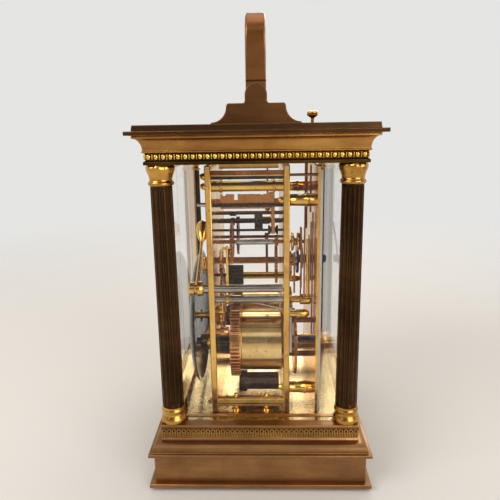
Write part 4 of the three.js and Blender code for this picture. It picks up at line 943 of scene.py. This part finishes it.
# Plain arbors between the plates, as [name, X, height, radius, material].
LIFTING, DETENT, FLIRT, ALARM = (-27.0, 79.6), (-8.0, 115.7), (-8.8, 107.9), (-12.0, 86.8)
PLAIN_ARBORS = (
    ("lifting_arbor", *LIFTING, 1.55, STEEL), ("detent_arbor", *DETENT, 0.5, DARK_STEEL),
    ("flirt_arbor", *FLIRT, 0.6, DARK_STEEL), ("bracket_arbor", -22.0, 121.6, 0.75, DARK_STEEL),
    ("alarm_arbor", *ALARM, 0.8, DARK_STEEL), ("rear_detent_arbor", 22.0, 96.0, 0.6, DARK_STEEL),
    ("rear_lifting_arbor", 25.0, 84.0, 1.2, STEEL), ("hook_arbor", 14.0, 113.0, 0.6, BROWN_BRASS),
)
BRACKET_OUTLINE = [
    (-6.1, 119.9), (16.5, 119.9), (16.5, 126.4), (15.6, 126.4), (15.6, 125.6), (14.2, 125.6),
    (14.2, 126.4), (10.3, 126.4), (10.3, 123.8), (8.8, 123.8), (8.8, 126.4), (-1.0, 126.4),
    (-2.0, 126.0), (-3.4, 126.4), (-6.0, 127.4), (-7.6, 127.4), (-7.7, 108.4), (-6.2, 108.4),
]


def build_train_details():
    """Arbors, sleeves, bars, springs and brackets between the plates."""
    low, high = INNER
    for name, x, z, radius, material in PLAIN_ARBORS:
        piece(name, *pin(radius, low, high, x, z), material)
    collar = [(1.6, 12.9), (2.2, 13.3), (2.2, 14.4), (1.6, 14.8)]
    piece("lifting_collar", *spindle(collar, *LIFTING), GILT, smooth=40)
    block = [(0.9, 10.2), (1.1, 10.5), (1.1, 13.1), (0.9, 13.4)]
    piece("detent_block", *spindle(block, *DETENT), DARK_STEEL)
    hourglass = [(2.2, -9.5), (2.3, -9.3), (2.3, -8.8), (1.0, -7.9), (1.0, -6.3), (2.3, -5.4),
                 (2.3, -4.9), (2.2, -4.7)]
    piece("flirt_pinion", *spindle(hourglass, *FLIRT), DARK_STEEL, smooth=40)
    piece("warning_sleeve", *pin(1.25, -7.0, 10.2, WARNING.x, WARNING.z), STEEL, "warning_wheel")
    piece("contrate_hub", *pin(1.7, -6.2, -2.0, CONTRATE.x, CONTRATE.z), GILT, "contrate_wheel")
    collet = toothed(20, 3.6, 4.3, -1.7, 0.5, CONTRATE.x, CONTRATE.z)
    piece("contrate_collet", *collet, COPPER_BRASS, "contrate_wheel", bevel=0.06)
    piece("alarm_pinion", *toothed(16, 3.9, 4.8, 7.2, 14.0, *ALARM), DARK_STEEL, bevel=0.1)
    for k, z in enumerate((88.0, 85.8)):
        piece(f"alarm_bar_{k}", *pin(0.6, low, 7.4, -13.4, z), GILT)
    piece("copper_bracket", *facing_side(prism(BRACKET_OUTLINE, -0.6, 0.6), -20.2), COPPER_SHEET,
          bevel=0.12)
    for k, (y_low, y_high) in enumerate(((-11.1, -7.6), (16.4, 19.4))):
        piece(f"bracket_foot_{k}", *cuboid((-21.4, y_low, 121.2), (-19.2, y_high, 124.4)),
              BROWN_BRASS, bevel=0.1)
    piece("platform_rail_upper", *cuboid((-25, low, 135.4), (-23.4, high, 137.1)), BROWN_BRASS,
          bevel=0.15)
    piece("platform_rail_lower", *cuboid((-24.4, low, 133.3), (-23.2, high, 134.6)), DARK_STEEL,
          bevel=0.15)
    piece("rail_line", *cuboid((-25.1, low, 134.75), (-23.6, high, 135.1)), GILT)
    stud = merged(pin(0.55, 15.4, high, -25, 72.8), upright_pin(0.55, 72.4, 77, -25, 16.6))
    piece("click_stud", *stud, GILT)
    stud = spindle([(2.1, 13.8), (2.3, 14.1), (2.3, 17.6), (1.6, 18.0), (1.6, high)], -26, 63.5)
    piece("stop_stud", *stud, COPPER_BRASS, smooth=40)
    springs = [((13.4, 79.0), (-10.5, 73.6)), ((11.0, 77.4), (-10.8, 76.2)),
               ((9.0, 82.2), (-9.8, 84.2))]
    wire = 0.35
    for k, ((y0, z0), (y1, z1)) in enumerate(springs):
        outline = [(y0, z0), (y0, z0 + wire), (y1, z1 + wire), (y1, z1)]
        piece(f"wire_spring_{k}", *facing_side(prism(outline, -0.18, 0.18), -23.5 + k), STEEL)
    piece("banking_pin", *pin(0.95, REAR, 28.4, -10, 120.4), WHITE_STEEL)
    bulb_x, bulb_y = -20, 24.2
    bulb = [(0, 90), (0.9, 90.3), (1.5, 91.6), (1.7, 94), (1.5, 96.4), (0.9, 97.7), (0, 98)]
    bulb = moved(turned(bulb, 24), (bulb_x, bulb_y, 0))
    piece("bell_stop", *merged(bulb, pin(0.8, REAR, bulb_y, bulb_x, 94)), GILT, smooth=50)
    wedge = [(REAR, 59.2), (26.4, 59.2), (REAR, 66.0)]
    for spot in (STRIKE, GOING):
        piece(f"click_cock_{int(spot.x > 0)}", *facing_side(prism(wedge, -2, 2), spot.x),
              BROWN_BRASS, bevel=0.2)


def build_floor_plate():
    """The polished floor of the case, inside the frieze."""
    floor = frieze.high.z - FLOOR_DROP
    wide = cuboid((-43.2, -32.4, floor - 0.1), (43.2, 32.4, floor + 0.06))
    deep = cuboid((-37.4, -38.2, floor - 0.1), (37.4, 38.2, floor + 0.05))
    piece("floor_polish", *merged(wide, deep), FLOOR_BRASS)
    top = frieze.high.z
    middle, half = 39.6, 0.95
    strips = [cuboid((side * middle - half, -34, top - 0.5), (side * middle + half, 34, top + 0.04))
              for side in (-1, 1)]
    piece("frieze_sill", *merged(*strips), SILL_BRONZE)


# ------------------------------------------------------------------ dial


def build_dial():
    """The enamel face: two chapter rings with Roman numerals and minute or hour tracks."""
    front = dial.low.y
    piece("enamel_face", *cuboid(dial.low, dial.high), ENAMEL, bevel=0.25, replaces=["dial"])
    lift = 0.03
    rings, marks = [], []

    def ring(cx, cz, inner, outer):
        sides = 96
        outline = [(outer, 0), (outer, lift), (inner, lift), (inner, 0)]
        return facing_front(moved(turned(outline, sides), (cx, cz, 0)), front)

    def stroke(cx, cz, radius, angle, points, width):
        """A straight stroke drawn in a frame whose up is outward from the dial's centre."""
        (u0, v0), (u1, v1) = points
        length = math.hypot(u1 - u0, v1 - v0)
        nu, nv = -(v1 - v0) / length * width / 2, (u1 - u0) / length * width / 2
        quad = [(u0 + nu, v0 + nv), (u0 - nu, v0 - nv), (u1 - nu, v1 - nv), (u1 + nu, v1 + nv)]
        out = []
        sine, cosine = math.sin(angle), math.cos(angle)
        for u, v in quad:
            r = radius + v
            out.append((cx + r * sine + u * cosine, cz + r * cosine - u * sine))
        return facing_front(prism(out, 0, lift), front)

    numerals = ["XII", "I", "II", "III", "IIII", "V", "VI", "VII", "VIII", "IX", "X", "XI"]
    main, small = (CENTRE.x, CENTRE.z, 27.0, 6.2, 0.75, 60), (0, 49, 10.2, 2.2, 0.28, 12)
    for cx, cz, outer, height, stem, count in (main, small):
        inner = outer - height * 1.7
        track = outer - height * 0.26
        rings += [ring(cx, cz, outer - 0.12, outer), ring(cx, cz, track, track + 0.12)]
        for minute in range(count):
            width = (0.42 if minute % 5 == 0 else 0.14) * height / 6.2
            angle = FULL * minute / count
            tick = ((0, 0), (0, height * 0.24))
            marks.append(stroke(cx, cz, outer - height * 0.25, angle, tick, width))
        widths = {"I": stem * 1.7, "V": height * 0.5, "X": height * 0.5}
        radius = inner + height * 0.15
        for hour, text in enumerate(numerals):
            angle = FULL * hour / 12
            u = -sum(widths[char] for char in text) / 2
            for char in text:
                mid, half = u + widths[char] / 2, widths[char] / 2 * 0.72
                thin = stem * 0.4
                strokes = {
                    "I": [(((mid, 0), (mid, height)), stem)],
                    "V": [(((mid - half, height), (mid, 0)), stem),
                          (((mid + half, height), (mid, 0)), thin)],
                    "X": [(((mid - half, height), (mid + half, 0)), stem),
                          (((mid + half, height), (mid - half, 0)), thin)],
                }[char]
                marks += [stroke(cx, cz, radius, angle, line, width) for line, width in strokes]
                u += widths[char]
    piece("numerals", *merged(*rings, *marks), BLACK, replaces=["dial"])


# ------------------------------------------------------------------ CAD nodes that keep their shape

FINISHES = {
    "left_glass": GLASS, "right_glass": GLASS, "front_glass": GLASS, "door_glass": GLASS,
    "door_frame": PLATE_BRASS, "door_knob": GILT, "repeat_button": BROWN_BRASS,
    "platform": BRASS, "dial_plate": PLATE_BRASS,
    "intermediate_wheel": BRASS, "strike_second_wheel": BRASS, "centre_wheel": COPPER_BRASS,
    "third_wheel": COPPER_BRASS, "contrate_wheel": COPPER_BRASS, "pin_wheel": COPPER_BRASS,
    "warning_wheel": COPPER_SHEET, "fly": DARK_STEEL, "escape_wheel": BRASS,
    "balance_wheel": GILT, "minute_wheel": BRASS,
    "hour_hand": BLUED, "minute_hand": BLUED, "alarm_hand": BLUED,
}


def finish_nodes():
    for name, material in FINISHES.items():
        obj = frame["nodes"][name]
        obj.data.materials.clear()
        obj.data.materials.append(material)


# ------------------------------------------------------------------ stage, light and camera

def build_stage():
    """A pale floor that fades into the backdrop long before its edge."""
    reach = 1.6
    floor = Nodes("pale_floor")
    tone = floor.mix(floor.noise(3, 2), srgb(218, 213, 207), srgb(213, 208, 201))
    material = floor.surface(0.0, Base_Color=tone, Roughness=0.85)
    tree = material.node_tree
    where = floor.add("ShaderNodeTexCoord")
    distance = tree.nodes.new("ShaderNodeVectorMath")
    distance.operation = "LENGTH"
    tree.links.new(where.outputs["Object"], distance.inputs[0])
    fade = tree.nodes.new("ShaderNodeMapRange")
    fade.interpolation_type = "SMOOTHSTEP"
    fade.inputs["From Min"].default_value = 0.12
    fade.inputs["From Max"].default_value = 0.75
    tree.links.new(distance.outputs["Value"], fade.inputs["Value"])
    clear = floor.add("ShaderNodeBsdfTransparent")
    blend = floor.add("ShaderNodeMixShader")
    tree.links.new(fade.outputs["Result"], blend.inputs["Fac"])
    tree.links.new(floor.shader.outputs[0], blend.inputs[1])
    tree.links.new(clear.outputs[0], blend.inputs[2])
    output = next(node for node in tree.nodes if node.type == "OUTPUT_MATERIAL")
    tree.links.new(blend.outputs[0], output.inputs["Surface"])
    vertices = [(-reach, -reach, 0), (reach, -reach, 0), (reach, reach, 0), (-reach, reach, 0)]
    mesh = bpy.data.meshes.new("floor")
    mesh.from_pydata(vertices, [], [(0, 1, 2, 3)])
    obj = bpy.data.objects.new("floor", mesh)
    bpy.context.scene.collection.objects.link(obj)
    mesh.materials.append(material)


def area_light(name, at, target, size, watts):
    light = bpy.data.lights.new(name, "AREA")
    light.shape = "RECTANGLE"
    light.size, light.size_y = size
    light.energy = watts
    obj = bpy.data.objects.new(name, light)
    bpy.context.scene.collection.objects.link(obj)
    obj.location = at
    obj.rotation_euler = (Vector(target) - Vector(at)).to_track_quat("-Z", "Y").to_euler()


def build_world():
    """Pale to the camera. To the metal, a room with a bright wall behind the clock, a bright table,
    and a dark ceiling with one pale strip on the camera's side."""
    world = bpy.data.worlds.new("studio")
    bpy.context.scene.world = world
    world.use_nodes = True
    tree = world.node_tree
    tree.nodes.clear()
    links = tree.links

    def node(kind, **settings):
        made = tree.nodes.new(kind)
        for key, value in settings.items():
            setattr(made, key, value)
        return made

    def ramp(fac, stops):
        made = node("ShaderNodeValToRGB")
        while len(made.color_ramp.elements) < len(stops):
            made.color_ramp.elements.new(0.5)
        for element, (position, value) in zip(made.color_ramp.elements, stops):
            element.position = position
            green, blue = value * (0.86 + 0.12 * value), value * (0.66 + 0.28 * value)
            element.color = (value, green, blue, 1)  # the darker, the warmer
        links.new(fac, made.inputs["Fac"])
        return made.outputs["Color"]

    def centred(socket):
        made = node("ShaderNodeMath", operation="MULTIPLY_ADD")
        made.inputs[1].default_value = 0.5
        made.inputs[2].default_value = 0.5
        links.new(socket, made.inputs[0])
        return made.outputs[0]

    output = node("ShaderNodeOutputWorld")
    mix = node("ShaderNodeMixShader")
    seen, room = node("ShaderNodeBackground"), node("ShaderNodeBackground")
    split = node("ShaderNodeSeparateXYZ")
    links.new(node("ShaderNodeTexCoord").outputs["Generated"], split.inputs[0])
    near_stops = [(0.0, 0.8), (0.50, 0.75), (0.57, 0.6), (0.63, 0.16), (0.80, 0.12), (0.83, 1.0),
                  (0.89, 1.0), (0.92, 0.16), (1.0, 0.5)]
    far_stops = [(0.0, 0.8), (0.5, 0.9), (0.75, 0.85), (1.0, 0.6)]
    near = ramp(centred(split.outputs["Z"]), near_stops)
    far = ramp(centred(split.outputs["Z"]), far_stops)
    side = ramp(centred(split.outputs["X"]), [(0.42, 0.0), (0.62, 1.0)])
    blend = node("ShaderNodeMix", data_type="RGBA")
    links.new(side, blend.inputs["Factor"])
    links.new(near, blend.inputs[6])
    links.new(far, blend.inputs[7])
    links.new(blend.outputs[2], room.inputs["Color"])
    room.inputs["Strength"].default_value = 0.85
    seen.inputs["Color"].default_value = (*srgb(229, 229, 227), 1)
    links.new(node("ShaderNodeLightPath").outputs["Is Camera Ray"], mix.inputs["Fac"])
    links.new(room.outputs[0], mix.inputs[1])
    links.new(seen.outputs[0], mix.inputs[2])
    links.new(mix.outputs[0], output.inputs["Surface"])


def build_lights():
    centre = (0, 0, 0.09)
    area_light("key", (-0.55, 0.75, 0.75), centre, (0.7, 0.5), 6)
    area_light("fill", (-0.9, -0.7, 0.45), centre, (0.9, 0.7), 7)
    area_light("top", (0.1, 0.0, 1.1), centre, (0.9, 0.9), 3)
    area_light("back", (0.9, -0.2, 0.5), centre, (0.6, 0.6), 3)


def build_camera():
    """Level with the top plate, looking down at the left side of the clock from close by.
    Metres and radians, fitted to the photo. focal_ratio is focal length over film width."""
    distance, aside, height = 0.23935, -0.00258, 0.15258
    down, swing, roll = 0.2317, 0.0286, -0.0158
    film, focal_ratio = 36.0, 0.98786
    camera = bpy.data.cameras.new("camera")
    camera.sensor_width = film
    camera.lens = film * focal_ratio
    camera.clip_start = 0.005
    obj = bpy.data.objects.new("camera", camera)
    bpy.context.scene.collection.objects.link(obj)
    level = math.cos(down)
    forward = Vector((level * math.cos(swing), level * math.sin(swing), -math.sin(down)))
    right = forward.cross(Vector((0, 0, 1))).normalized()
    up = right.cross(forward)
    turned_right = math.cos(roll) * right + math.sin(roll) * up
    turned_up = -math.sin(roll) * right + math.cos(roll) * up
    rotation = Matrix((turned_right, turned_up, -forward)).transposed()
    obj.matrix_world = Matrix.Translation((-distance, aside, height)) @ rotation.to_4x4()
    bpy.context.scene.camera = obj


bpy.context.scene.view_settings.view_transform = "Standard"
build_base()
build_frieze()
build_columns()
build_top()
build_handle()
build_button()
build_plates()
build_barrels()
build_hammer()
build_bell()
build_levers()
build_train_details()
build_floor_plate()
build_dial()
finish_nodes()
build_stage()
build_world()
build_lights()
build_camera()
